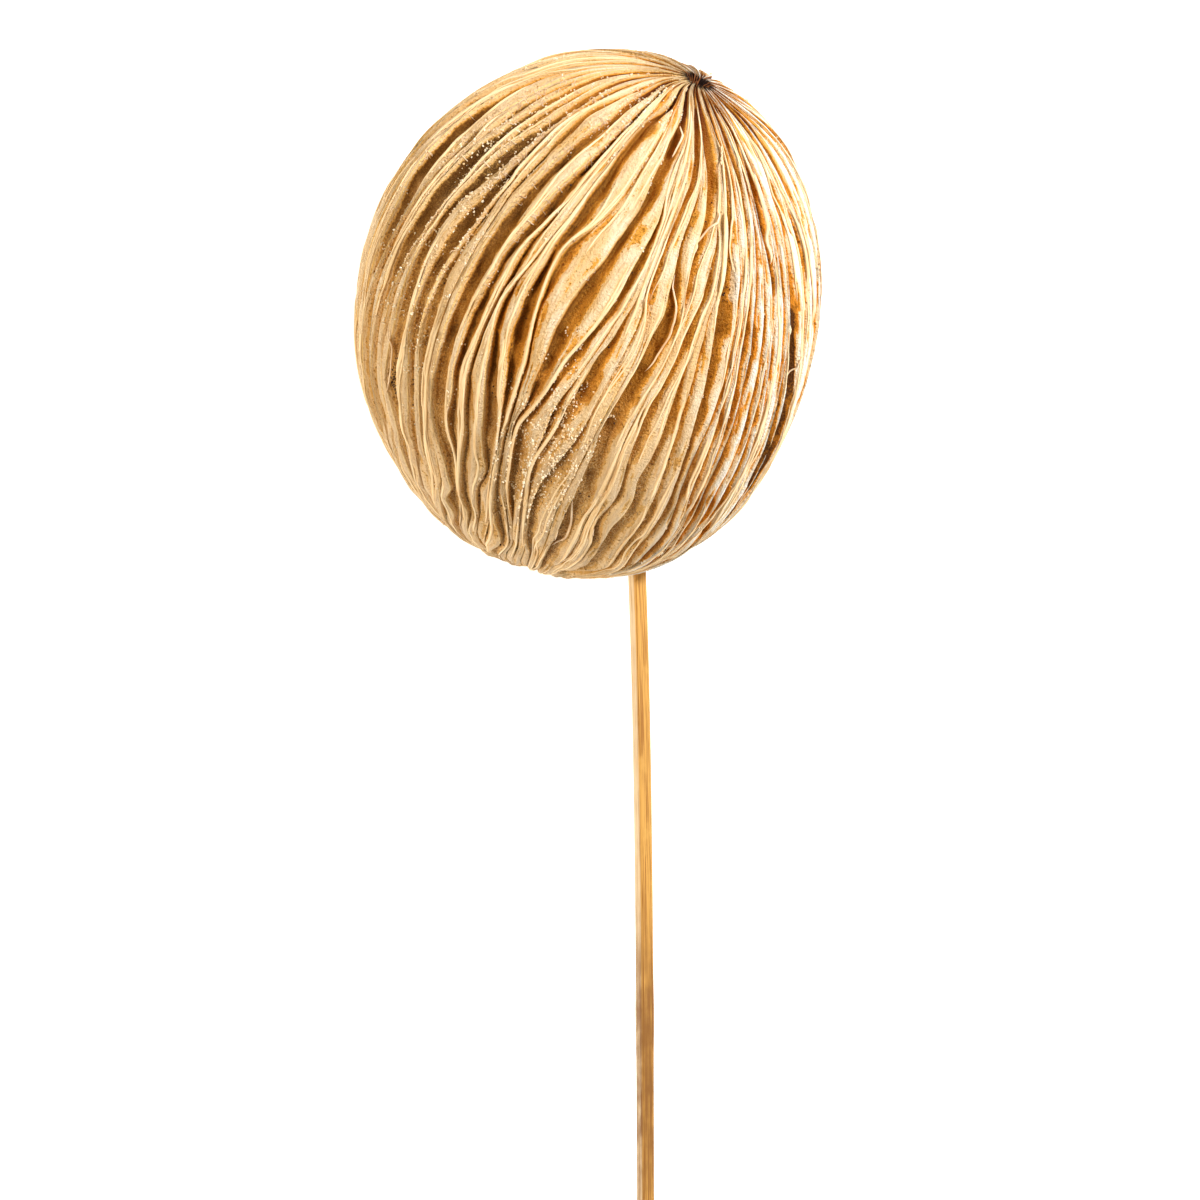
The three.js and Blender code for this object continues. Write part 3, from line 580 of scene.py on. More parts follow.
class Weave:
    """The ball's grid: rows from tip to foot, and columns that keep to the edges of the grooves.

    A span is a groove or a rib, in turn, and its columns lie at shares of the way across it. In the
    grooves of the dull side they are s^1.6, which crowds them under the lip, and elsewhere the mean of
    s and (1 - cos(pi s)) / 2, which crowds them at both edges.
    """

    def __init__(self, settings):
        self.rows = np.concatenate([TIP_ROWS, np.linspace(*EVEN_ROWS, settings.rows - TIP_ROWS.size)])
        edges = ordered_edges(self.rows, settings)
        edges = np.concatenate([edges, edges[:, :1] + 360], axis=1)
        start, share, cut = [], [], []
        counted = edges[(self.rows > COUNTED_ROWS[0]) & (self.rows < COUNTED_ROWS[1])]
        mean = np.diff(counted, axis=1).mean(axis=0)
        crisp = bright_place(counted.mean(axis=0)) > 0.5
        for span, width in enumerate(mean):
            is_cut = span % 2 == 0
            pitch, fewest, most = GROOVE_COLUMNS if is_cut else RIB_COLUMNS
            pieces = int(np.clip(round(width / pitch), fewest, most))
            steps = np.arange(pieces) / pieces
            rounded = (1 - np.cos(math.pi * steps)) / 2
            steps = steps**1.6 if is_cut and not crisp[span] else (rounded + steps) / 2
            start += [span] * pieces
            share += list(steps)
            cut += [is_cut] * pieces
        self.start = np.array(start)
        self.share = np.array(share)
        self.cut = np.array(cut)
        self.lips = self.cut & (self.share == 0)
        left, right = edges[:, self.start], edges[:, self.start + 1]
        self.longitude = left * (1 - self.share) + right * self.share
        self.width = (right - left) * degree_on(self.rows[:, None])
        self.columns = self.share.size
        self.build(settings)

    def build(self, settings):
        """Depth below the egg shape, all in metres.

        Ribs and floors have their depths from the two methods below. Furrows on the ribs and, low down
        in front, two slanting ripples that add shallow lumps over ribs and grooves alike come on top,
        and so do the pit at the tip, the dent at the foot and the hole for the stick. The dip says how
        much of the depth is groove, for the colours, which darken with it: partly the grooves' own
        brown, partly painted shade in the recesses.
        """
        rows = self.rows[:, None]
        spans = self.start.max() + 1
        level = (0.5 + 0.5 * ripple(np.arange(spans)[None, :] * 1.31, rows, 24.0, 3)) * LEVEL_RANGE
        first = [int(np.argmax(self.start == span)) for span in range(spans)]
        shoulder = np.minimum(SHOULDER_SHARE * self.width[:, first], SHOULDER_MOST)
        fall = self.rib_fall()
        crown = level[:, self.start] + shoulder[:, self.start] * fall
        floor = self.floor_dip(rows, settings)
        before = np.where(self.cut, self.start - 1, self.start) % spans
        after = np.where(self.cut, self.start + 1, self.start) % spans
        edge_left = level[:, before] + shoulder[:, before] * LIP_SHARE
        edge_right = level[:, after] + shoulder[:, after]
        hollow = edge_left * (1 - self.share) + edge_right * self.share + floor
        furrow = ripple(np.arange(self.columns) * 2.7, rows, 5.0, 4) - 0.1
        furrow = FURROW_DEPTH * np.clip(furrow, -0.1, 1) * (0.2 + 0.8 * smooth_step(8, 42, rows))
        lumps = ripple(3.1, self.longitude + 0.6 * rows, 4.5, 3)
        lumps = lumps + ripple(7.7, 0.5 * self.longitude - rows, 5.0, 3)
        knobbly = dull_place(rows, self.longitude) * smooth_step(*KNOBBLY_ROWS, rows)
        lumps = LUMP_DEPTH * knobbly * np.clip(0.5 + lumps, 0, 2)
        depth = np.where(self.cut, hollow, crown) + np.where(self.cut, 0, furrow) + lumps + settings.skin
        away = egg(on_sphere(self.longitude, rows))
        pit = PIT_DEPTH * bell(0, PIT_REACH, rows, 4) + DENT_DEPTH * bell(180, DENT_REACH, rows)
        depth = np.maximum(depth, 0.02 * MM) + pit + self.hole(away)
        # The dip only picks colours. On the ribs it follows the falling flanks and furrows, which the
        # colours turn warm tan as painted shade, and the widest grooves get more of it than their depth,
        # which paints them darker: partly their brown, partly painted shade
        flank = 0.4 * shoulder[:, self.start] * fall + 1.3 * furrow
        deeper = 1 + 0.8 * smooth_step(*DARK_WIDTHS, self.width)
        in_groove = floor * deeper + 0.4 * shoulder[:, after] * self.share
        self.dip = np.where(self.cut, in_groove, flank) + 0.4 * lumps
        self.points = away * (1 - depth / np.linalg.norm(away, axis=-1))[..., None]

    def rib_fall(self):
        """How far a rib falls away across it, as a share of its shoulder: u runs from -1 to 1.

        The left flank falls by |u|^1.7, less on the far left side, and the right edge is a sharper lip
        that falls by 0.4 u^4.
        """
        across = 2 * self.share - 1
        left_fall = 1 - 0.45 * bell(*ROUND_FLANKS, self.longitude)
        return np.where(across < 0, left_fall * np.abs(across) ** 1.7, LIP_SHARE * across**4)

    def floor_dip(self, rows, settings):
        """Depth of a groove's floor below the line between its two edges.

        With s from 0 under the lip on its left to 1 on its right, it is
        most (1.35 - 0.35 f) (1 - e^(-s / 0.08)) (1 - s)^p. The power p falls from 1.15 to 0.28 in wide
        grooves and on the bright side, where f goes up to 1. Depth grows with the opening w as
        least + depth (1 - e^(-w / 1.6 mm)), comes and goes along the groove, and is held to the width
        near the poles. A fine grain of 0.16 mm lies on the floor.
        """
        bright = bright_place(self.longitude)
        across = 2 * self.share - 1
        filled = 0.72 + 0.28 * ripple(self.start * 1.9, rows, 2.6, 3)
        filled = filled * (1 - 0.62 * bell(*SHALLOW_LEFT, self.longitude))
        filled = filled * (1 - 0.4 * dull_place(rows, self.longitude))
        open_depth = settings.depth * filled * (1 - np.exp(-self.width / DEEPENING_WIDTH))
        most = np.minimum(settings.least_depth + open_depth, 0.04 * MM + 2.6 * self.width)
        flat = smooth_step(*FLAT_WIDTHS, self.width)
        rise = np.maximum(1.15 - 0.7 * flat - 0.75 * bright, 0.28)
        under_lip = (1.35 - 0.35 * np.maximum(flat, bright)) * (1 - np.exp(-self.share / 0.08))
        grain = GRAIN_DEPTH * ripple(self.start * 3.3 + 5 * self.share, rows, 1.3, 4)
        return most * (under_lip * (1 - self.share) ** rise) + grain * (1 - across**2)

    def hole(self, away):
        """A funnel where the stick goes in: full depth within its inner edge, and none past the outer."""
        off = np.hypot(away[..., 0] - STICK_ENTRY[0], away[..., 2] - STICK_ENTRY[2])
        near = (1 - smooth_step(*HOLE_EDGE, off)) * (away[..., 1] < 0)
        return HOLE_DEPTH * near

    def surface(self, row, column, lift):
        """Points on the surface, by row and column as broken numbers, raised by lift, and the ways out.

        Each is a mean of the four corners about it, by how near they are.
        """
        r = np.clip(row, 0, self.rows.size - 1.001)
        c = column % self.columns
        i, j = r.astype(int), c.astype(int)
        k = (j + 1) % self.columns
        s, t = (r - i)[..., None], (c - j)[..., None]
        p = self.points
        spot = (p[i, j] * (1 - t) + p[i, k] * t) * (1 - s) + (p[i + 1, j] * (1 - t) + p[i + 1, k] * t) * s
        out = spot / np.linalg.norm(spot, axis=-1, keepdims=True)
        return spot + out * lift[..., None], out

    def on_lip(self, column):
        """The nearest following column that is the right edge of a rib."""
        return next_of(np.flatnonzero(self.lips), column)

    def on_floor(self, column):
        """The nearest following column that lies well inside a groove."""
        return next_of(np.flatnonzero(self.cut & (np.abs(self.share - 0.5) < 0.3)), column)

    def row_of(self, colatitude):
        """The row at a colatitude, as a broken number."""
        return np.interp(colatitude, self.rows, np.arange(self.rows.size))

    def column_of(self, colatitude, longitude):
        """The column at a longitude, on the row nearest to a colatitude, one value at a time."""
        row = int(round(float(self.row_of(colatitude))))
        line = self.longitude[row]
        turned = (longitude - line[0]) % 360 + line[0]
        return float(np.interp(turned, line, np.arange(self.columns)))

    def columns_of(self, colatitudes, longitudes):
        """The same for many spots."""
        return np.array([self.column_of(c, p) for c, p in zip(colatitudes, longitudes)])


# Laying down

def slope():
    """The angle that brings the stick's cut end down to the surface that the ball lies on."""
    turn = abs(math.radians(STICK_TURN))
    half_stick = STICK_TIP_SIDE / 2 * (math.cos(turn) + math.sin(turn)) - STICK_CORNER * math.sin(turn)
    below = half_stick - STICK_ENTRY[2]
    along = STICK_FREE - STICK_ENTRY[1]
    return math.asin(BALL_HEIGHT / math.hypot(below, along)) - math.atan2(below, along)


def tipped(points):
    """Points turned about x by the slope and raised so that the ball's middle is at its height."""
    c, s = math.cos(slope()), math.sin(slope())
    x, y, z = points[..., 0], points[..., 1], points[..., 2]
    return np.stack([x, y * c - z * s, y * s + z * c + BALL_HEIGHT], -1)


def stick_section(side, points):
    """A square with its corners cut off, as so many points evenly spaced round its outline."""
    h = side / 2
    k = h - STICK_CORNER
    corners = np.array([(h, k), (k, h), (-k, h), (-h, k), (-h, -k), (-k, -h), (k, -h), (h, -k), (h, k)])
    run = np.concatenate([[0], np.cumsum(np.linalg.norm(np.diff(corners, axis=0), axis=1))])
    at = np.arange(points) / points * run[-1]
    flat = np.stack([np.interp(at, run, corners[:, 0]), np.interp(at, run, corners[:, 1])], -1)
    c, s = math.cos(math.radians(STICK_TURN)), math.sin(math.radians(STICK_TURN))
    return np.stack([flat[:, 0] * c - flat[:, 1] * s, flat[:, 0] * s + flat[:, 1] * c], -1)


def stick_line(distance):
    """Straight down from the entry, drifting sideways by bow (1 - e^(-distance / length))."""
    bow = STICK_BOW * (1 - np.exp(-np.maximum(distance, 0) / BOW_LENGTH))
    offset = np.stack([bow, -distance, np.zeros_like(distance)], -1)
    return STICK_ENTRY + offset


def place_in_frame():
    """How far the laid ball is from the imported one: the cut end of the stick is at the same place."""
    end = tipped(stick_line(np.array([STICK_FREE])))[0]
    half_up = stick_section(STICK_TIP_SIDE, 400)[:, 1].max() * math.sin(slope())
    low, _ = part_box("bamboo_stick")
    ball_low, ball_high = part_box("mintola_ball")
    turns, rises = np.meshgrid(np.arange(-180, 180, 1.0), np.arange(-89, 90, 1.0))
    whole = tipped(egg(unit_vector(turns, rises)))
    across = (ball_low[0] + ball_high[0]) / 2 - (whole[..., 0].min() + whole[..., 0].max()) / 2
    return np.array([across, low[1] - (end[1] - half_up), 0.0])


SHIFT = place_in_frame()


def laid(points):
    """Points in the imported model's place, with nothing under the surface it lies on."""
    down = tipped(points) + SHIFT
    down[..., 2] = np.maximum(down[..., 2], 0)
    return down


# Meshes

def new_piece(name, points, faces, material, smooth=True):
    """A mesh object at the origin from arrays of points and of quads or triangles."""
    mesh = bpy.data.meshes.new(name)
    sizes = [np.full(len(f), f.shape[1]) for f in faces]
    loops = np.concatenate([f.ravel() for f in faces])
    totals = np.concatenate(sizes)
    mesh.vertices.add(len(points))
    mesh.vertices.foreach_set("co", np.ascontiguousarray(points, np.float32).ravel())
    mesh.loops.add(loops.size)
    mesh.loops.foreach_set("vertex_index", loops.astype(np.int32))
    mesh.polygons.add(totals.size)
    mesh.polygons.foreach_set("loop_start", (np.cumsum(totals) - totals).astype(np.int32))
    mesh.polygons.foreach_set("use_smooth", np.full(totals.size, smooth))
    mesh.materials.append(material)
    mesh.update(calc_edges=True)
    mesh.validate()
    piece = bpy.data.objects.new(name, mesh)
    bpy.context.scene.collection.objects.link(piece)
    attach(piece, "root")
    return piece


def ring_faces(rows, columns, outward=True):
    """Quads between neighbouring rings whose last column joins the first."""
    i, j = np.meshgrid(np.arange(rows - 1), np.arange(columns), indexing="ij")
    k = (j + 1) % columns
    quads = np.stack([i * columns + j, (i + 1) * columns + j, (i + 1) * columns + k, i * columns + k], -1)
    quads = quads.reshape(-1, 4)
    return quads if outward else quads[:, ::-1]


def set_uv(piece, u, v):
    """A UV map from a value of u and v for every loop."""
    layer = piece.data.uv_layers.new(name="fibre_way")
    layer.data.foreach_set("uv", np.stack([u, v], -1).astype(np.float32).ravel())


def set_value(piece, name, values):
    """A named number for every point of the mesh, for the materials."""
    attribute = piece.data.attributes.new(name, "FLOAT", "POINT")
    attribute.data.foreach_set("value", values.astype(np.float32).ravel())


def sharpen(piece, on_line, columns):
    """Makes the edges that run down a marked column of a grid sharp."""
    mesh = piece.data
    ends = np.zeros(len(mesh.edges) * 2, np.int32)
    mesh.edges.foreach_get("vertices", ends)
    a, b = ends.reshape(-1, 2).T
    inside = (a < on_line.size) & (b < on_line.size)
    down = inside & (a % columns == b % columns)
    sharp = down & on_line[np.where(inside, a, 0)]
    mesh.attributes.new("sharp_edge", "BOOLEAN", "EDGE").data.foreach_set("value", sharp)


def loop_vertices(piece):
    """The point that each corner of each face stands on."""
    index = np.zeros(len(piece.data.loops), np.int32)
    piece.data.loops.foreach_get("vertex_index", index)
    return index


def tubes(name, centres, outs, wide, high, material, sides):
    """Many flat cords as one mesh: a ring of side cos(a) wide + out sin(a) high about each point.

    Centres and outs are cords by points by 3, and wide and high are half sizes for every point. The
    ends are closed by a face. u of the UV map runs 0.3 round each cord, from a start of its own, and v
    runs along it.
    """
    count, steps, _ = centres.shape
    way = np.gradient(centres, axis=1)
    way /= np.linalg.norm(way, axis=-1, keepdims=True) + 1e-12
    side = np.cross(way, outs)
    side /= np.linalg.norm(side, axis=-1, keepdims=True) + 1e-12
    over = np.cross(side, way)
    angle = np.arange(sides) / sides * 2 * math.pi
    ring = (
        side[:, :, None] * (np.cos(angle)[None, None, :, None] * wide[:, :, None, None])
        + over[:, :, None] * (np.sin(angle)[None, None, :, None] * high[:, :, None, None])
    )
    points = (centres[:, :, None] + ring).reshape(-1, 3)
    one = ring_faces(steps, sides)
    first = np.arange(count) * steps * sides
    quads = (first[:, None, None] + one[None]).reshape(-1, 4)
    starts = first[:, None] + np.arange(sides)[None]
    ends = first[:, None] + (steps - 1) * sides + np.arange(sides)[None, ::-1]
    piece = new_piece(name, laid(points), [quads, starts, ends], material)
    pieces = np.linalg.norm(np.diff(centres, axis=1), axis=-1)
    run = np.concatenate([np.zeros((count, 1)), np.cumsum(pieces, axis=1)], axis=1)
    serial = np.arange(count)[:, None, None] * 0.37
    u = np.broadcast_to(serial + (angle / (2 * math.pi))[None, None] * 0.3, (count, steps, sides)).ravel()
    v = np.broadcast_to(run[:, :, None], (count, steps, sides)).ravel()
    loops = loop_vertices(piece)
    set_uv(piece, u[loops], v[loops] * MAP_PER_METRE)


def crumbs(name, centres, size, seed, material):
    """Many small uneven lumps as one mesh: an octahedron whose six corners are pushed in and out."""
    count = len(centres)
    rng = np.random.default_rng(seed)
    axes = np.array([(1, 0, 0), (-1, 0, 0), (0, 1, 0), (0, -1, 0), (0, 0, 1), (0, 0, -1)], float)
    turn = rng.normal(size=(count, 3, 3))
    turn, _ = np.linalg.qr(turn)
    reach = size[:, None] * rng.uniform(0.5, 1.2, (count, 6))
    corners = (axes[None] * reach[..., None]) @ turn
    sign = np.sign(np.linalg.det(turn))
    points = (centres[:, None] + corners).reshape(-1, 3)
    sides = ((0, 2, 4), (2, 1, 4), (1, 3, 4), (3, 0, 4), (2, 0, 5), (1, 2, 5), (3, 1, 5), (0, 3, 5))
    faces = np.arange(count)[:, None, None] * 6 + np.array(sides)[None]
    faces = np.where(sign[:, None, None] > 0, faces, faces[:, :, ::-1]).reshape(-1, 3)
    new_piece(name, laid(points), [faces], material, smooth=False)


# Shader maths

class Value:
    """A shader socket: a sum or product with it adds a Math node."""

    def __init__(self, graph, socket):
        self.graph = graph
        self.socket = socket

    def __add__(self, other):
        return self.graph.maths("ADD", self, other)

    def __radd__(self, other):
        return self.graph.maths("ADD", other, self)

    def __sub__(self, other):
        return self.graph.maths("SUBTRACT", self, other)

    def __rsub__(self, other):
        return self.graph.maths("SUBTRACT", other, self)

    def __mul__(self, other):
        return self.graph.maths("MULTIPLY", self, other)

    def __rmul__(self, other):
        return self.graph.maths("MULTIPLY", other, self)


class Graph:
    """The nodes of one material."""

    def __init__(self, name):
        self.material = bpy.data.materials.new(name)
        self.material.use_nodes = True
        self.tree = self.material.node_tree
        self.tree.nodes.clear()

    def node(self, kind, settings=None, inputs=None, output=0):
        """A node by its type, with its settings made first and then its sockets' values or links."""
        made = self.tree.nodes.new(kind)
        for name, value in (settings or {}).items():
            setattr(made, name, value)
        for name, value in (inputs or {}).items():
            if isinstance(value, Value):
                self.tree.links.new(value.socket, made.inputs[name])
            else:
                made.inputs[name].default_value = value
        return Value(self, made.outputs[output])

    def maths(self, operation, a, b):
        """A Math node on two values, of which one may be a plain number."""
        return self.node("ShaderNodeMath", {"operation": operation}, {0: a, 1: b})

    def step(self, low, high, value):
        """0 below low, 1 above high, and smooth between."""
        settings = {"interpolation_type": "SMOOTHSTEP"}
        return self.node(
            "ShaderNodeMapRange", settings, {"Value": value, "From Min": low, "From Max": high}
        )

    def mix(self, share, a, b):
        """Colour a, turning into colour b with the share."""
        inputs = {0: share, 6: opaque(a), 7: opaque(b)}
        return self.node("ShaderNodeMix", {"data_type": "RGBA"}, inputs, output=2)

    def coated(self, base, *coats):
        """A colour with other colours over it in turn, each by its own share."""
        for share, tint in coats:
            base = self.mix(share, base, tint)
        return base

    def way(self):
        """The piece's own UV map, which follows its fibres."""
        return self.node("ShaderNodeUVMap", {"uv_map": "fibre_way"})

    def place(self):
        """Where a point is on the piece, in metres."""
        return self.node("ShaderNodeTexCoord", None, None, output="Object")

    def noise(self, place, scale, detail=3.0, roughness=0.55):
        """Cloudy values round 0.5, which repeat about so many times in a unit."""
        inputs = {"Vector": place, "Scale": scale, "Detail": detail, "Roughness": roughness}
        return self.node("ShaderNodeTexNoise", None, inputs)

    def streaks(self, way, across, along, detail=2.0, roughness=0.55):
        """Noise drawn out along the fibres: so many times across and along in a unit of the map."""
        scaled = self.node("ShaderNodeMapping", None, {"Vector": way, "Scale": (across, along, 1)})
        return self.noise(scaled, 1.0, detail, roughness)

    def attribute(self, name):
        """A named number of the mesh."""
        return self.node("ShaderNodeAttribute", {"attribute_name": name}, output="Fac")

    def bump(self, height, distance, strength=1.0):
        """Relief from a height between 0 and 1, over a distance in metres."""
        inputs = {"Height": height, "Distance": distance, "Strength": strength}
        return self.node("ShaderNodeBump", None, inputs, output="Normal")

    def finish(self, inputs):
        """The finished material: one Principled surface with these values on its sockets."""
        surface = self.node("ShaderNodeBsdfPrincipled", None, inputs)
        end = self.tree.nodes.new("ShaderNodeOutputMaterial")
        self.tree.links.new(surface.socket, end.inputs["Surface"])
        return self.material


def opaque(tint):
    """A plain colour with a full fourth part, or a socket as it is."""
    return tint if isinstance(tint, Value) else (*tint, 1.0)


# Materials

# The mesh's numbers that the husk reads. Under and pit place painted shadow, lip a painted highlight and
# bright the painted light of the key-lit side; the dip picks colours that are partly painted shade
HUSK_FIELDS = ("dip", "tip", "dull", "worn", "lip", "bright", "tan", "under", "pit")


def husk_material(settings):
    """Bleached fibre: pale crowns with lengthwise streaks, golden walls and brown, speckled floors.

    The dip runs from 0 on a crown to 1 on a deep floor, and picks crown, wall, floor and the deep tint in
    turn:
    partly the grooves' own colours and dirt, partly painted shade in the recesses. The other fields of
    the mesh shift each of them from place to place: under and pit paint shadow beneath the lips and in
    the pit, lip paints a golden highlight on the rib edges, and bright paints the key light's wash on
    the right side.
    """
    g = Graph(HUSK)
    way, place = g.way(), g.place()
    dip, tip, dull, worn, lip, bright, tan, under, pit = (g.attribute(name) for name in HUSK_FIELDS)
    fine = g.streaks(way, 1050, 34)
    strand = g.streaks(way, 560, 16)
    broad = g.streaks(way, 240, 12)
    stain = g.noise(place, 95, 3.0)
    grain = g.noise(place, 2600, 2.0, 0.7)
    blot = g.noise(place, 520, 3.0, 0.6)
    sand = g.noise(place, 5200, 1.0, 0.5)
    pale = g.step(0.4, 0.62, broad * 0.6 + stain * 0.4)
    # Painted light on the bright side: the crowns paler and whiter and their fibre lines fainter, for the
    # wash of the key light
    pale = pale + (1 - pale) * bright * 0.6
    line = 1 - 0.75 * bright
    rust = g.step(0.52, 0.62, grain * 0.6 + stain * 0.4) * (0.2 + 0.8 * worn)
    crown = g.coated(
        settings.shade,
        (pale, settings.crown),
        # Painted light: near white crowns on the bright side
        (bright * 0.95, srgb(255, 252, 242)),
        (tan * 0.85, srgb(226, 194, 150)),
        (dull * 0.55, srgb(232, 208, 174)),
        (g.step(0.45, 0.3, strand) * 0.5 * line, srgb(214, 166, 96)),
        (g.step(0.44, 0.32, fine) * 0.4 * line, srgb(206, 150, 76)),
        # Painted warm shade: the crowns turn warm tan down their flanks, for warm light bounced in the
        # grooves
        (g.step(0.0, 0.4, dip) * 0.45 * line, srgb(244, 202, 134)),
        # Painted warm shade in the recessed columns of the bright side
        (g.step(0.06, 0.3, dip) * bright * 0.6, srgb(252, 204, 124)),
        (rust * 0.6, srgb(196, 128, 64)),
    )
    wall = g.coated(
        settings.wall,
        # Painted light: a more saturated orange on the bright side's walls, as the strong key light shows
        # them
        (bright * 0.7, srgb(240, 148, 32)),
        ((tan + dull - tan * dull) * 0.8, srgb(212, 170, 106)),
    )
    dusty = g.mix(g.step(0.42, 0.58, sand), srgb(172, 124, 62), srgb(222, 186, 130))
    dirty = g.mix(g.step(0.46, 0.6, sand), srgb(84, 56, 20), srgb(158, 120, 64))
    floor = g.coated(
        settings.floor,
        (g.step(0.5, 0.6, sand) * 0.5, settings.wall),
        # The same painted light on the bright side's floors
        (bright * 0.8, srgb(190, 114, 18)),
        (dull * 0.9, dusty),
        (worn, dirty),
    )
    # The deep tint: dirt and painted shade together, lighter where the ball is dull
    deep = g.mix(dull * 0.8, settings.deep, srgb(128, 90, 42))
    # A painted golden highlight along the lips, the right edges of the ribs that face the key light
    rim = g.mix(tan, srgb(254, 212, 132), srgb(250, 220, 164))
    rough = (blot - 0.5) * 0.45 + (strand - 0.5) * 0.3 + (grain - 0.5) * 0.6
    rough_dip = dip + rough * (1 - 0.5 * bright)
    tip_dip = dip + (stain - 0.5) * 0.2
    # Where the deep tint may go: painted shadow beneath the lips and in the seam, more on the bright side
    # and less where the ball is dull. The patches break it up, except beneath the lips on the bright side
    shaded = (under + bright * 0.45) * (1 - dull * 0.5)
    patches = (stain - 0.5) * 0.5 * (1 - under * bright)
    speck = g.step(0.6, 0.68, grain) * g.step(0.12, 0.4, dip)
    # Crown, wall, floor and deep tint follow the dip: partly the grooves' own colours, partly painted
    # shade that darkens the recesses
    base = g.coated(
        crown,
        (g.step(0.36, 0.52, rough_dip), wall),
        (g.step(0.58, 0.7, rough_dip), floor),
        # Painted shadow over dirt in the deepest grooves and beneath the lips
        (g.step(0.74, 0.94, rough_dip + patches) * shaded, deep),
        # Painted highlight on the lips
        (g.step(0.6, 0.95, lip) * g.step(0.3, 0.55, broad), rim),
        (speck * 0.75, srgb(96, 54, 16)),
        # Orange and dark brown in the grooves near the tip: partly the tip's own brown fibres, partly
        # painted shade in the narrow grooves
        (tip * g.step(0.12, 0.38, tip_dip), srgb(252, 172, 58)),
        (tip * g.step(0.44, 0.62, tip_dip), settings.tip),
        # Painted shade in the pit, darkening to near black in its middle
        (pit * g.step(0.1, 0.36, tip_dip), srgb(128, 62, 8)),
        (pit * g.step(0.5, 0.8, tip_dip), srgb(64, 26, 4)),
        (g.step(0.9, 0.985, pit), srgb(38, 14, 2)),
    )
    height = fine * 0.35 + strand * 0.7 + broad * 0.4 + grain * 0.8 + blot * 0.4
    return g.finish(
        {
            "Base Color": base,
            "Roughness": 0.62 + 0.25 * blot,
            "Normal": g.bump(height, 0.0007, 0.9),
            "Specular IOR Level": 0.2,
        }
    )


def fibre_material(name, pale, dark):
    """A loose fibre: a pale cord with darker streaks and spots along it."""
    g = Graph(name)
    way = g.way()
    streak = g.streaks(way, 9, 14, 3.0)
    spot = g.streaks(way, 30, 60)
    base = g.mix(g.step(0.4, 0.66, streak * 0.7 + spot * 0.3), pale, dark)
    return g.finish(
        {
            "Base Color": base,
            "Roughness": 0.6 + 0.2 * spot,
            "Normal": g.bump(streak, 0.0001, 0.5),
            "Specular IOR Level": 0.35,
        }
    )


def crumb_material(name, pale, dark, roughness):
    """Small grains, each with its own mix of two tints by where it lies."""
    g = Graph(name)
    base = g.mix(g.step(0.35, 0.65, g.noise(g.place(), 900, 2.0)), pale, dark)
    return g.finish({"Base Color": base, "Roughness": roughness, "Specular IOR Level": 0.6})


def bamboo_material(settings):
    """Split bamboo: lengthwise fibre lines on the golden faces, a pale outer face and a greyed joint."""
    g = Graph(BAMBOO)
    way = g.way()
    line = g.streaks(way, 46, 7, 3.0, 0.6)
    thin = g.streaks(way, 150, 12, 2.0, 0.6)
    cloud = g.streaks(way, 3, 20, 3.0)
    base = g.coated(
        settings.face,
        (g.step(0.44, 0.62, line), settings.line),
        (g.step(0.6, 0.78, thin) * 0.6, srgb(104, 58, 22)),
        (g.step(0.5, 0.75, cloud) * 0.5, srgb(232, 180, 92)),
        (g.attribute("pale_face") * g.step(0.75, 0.4, line * 0.7 + cloud * 0.3), settings.pale),
        (g.attribute("weathered") * g.step(0.25, 0.6, cloud * 0.5 + line * 0.5), settings.old),
    )
    return g.finish(
        {
            "Base Color": base,
            "Roughness": 0.42 + 0.2 * line,
            "Normal": g.bump(line * 0.6 + thin * 0.4, 0.00012, 0.6),
            "Specular IOR Level": 0.45,
        }
    )


def floor_material(tint):
    """A pale matt sheet with a faint cloudiness, which shines a little of itself."""
    g = Graph("pale_floor")
    base = g.mix(g.noise(g.place(), 3.0, 2.0) * 0.3, tint, tuple(c * 0.985 for c in tint))
    return g.finish(
        {
            "Base Color": base,
            "Roughness": 0.9,
            "Specular IOR Level": 0.1,
            "Emission Color": (1.0, 1.0, 1.0, 1.0),
            "Emission Strength": 0.7,
        }
    )


# Pieces

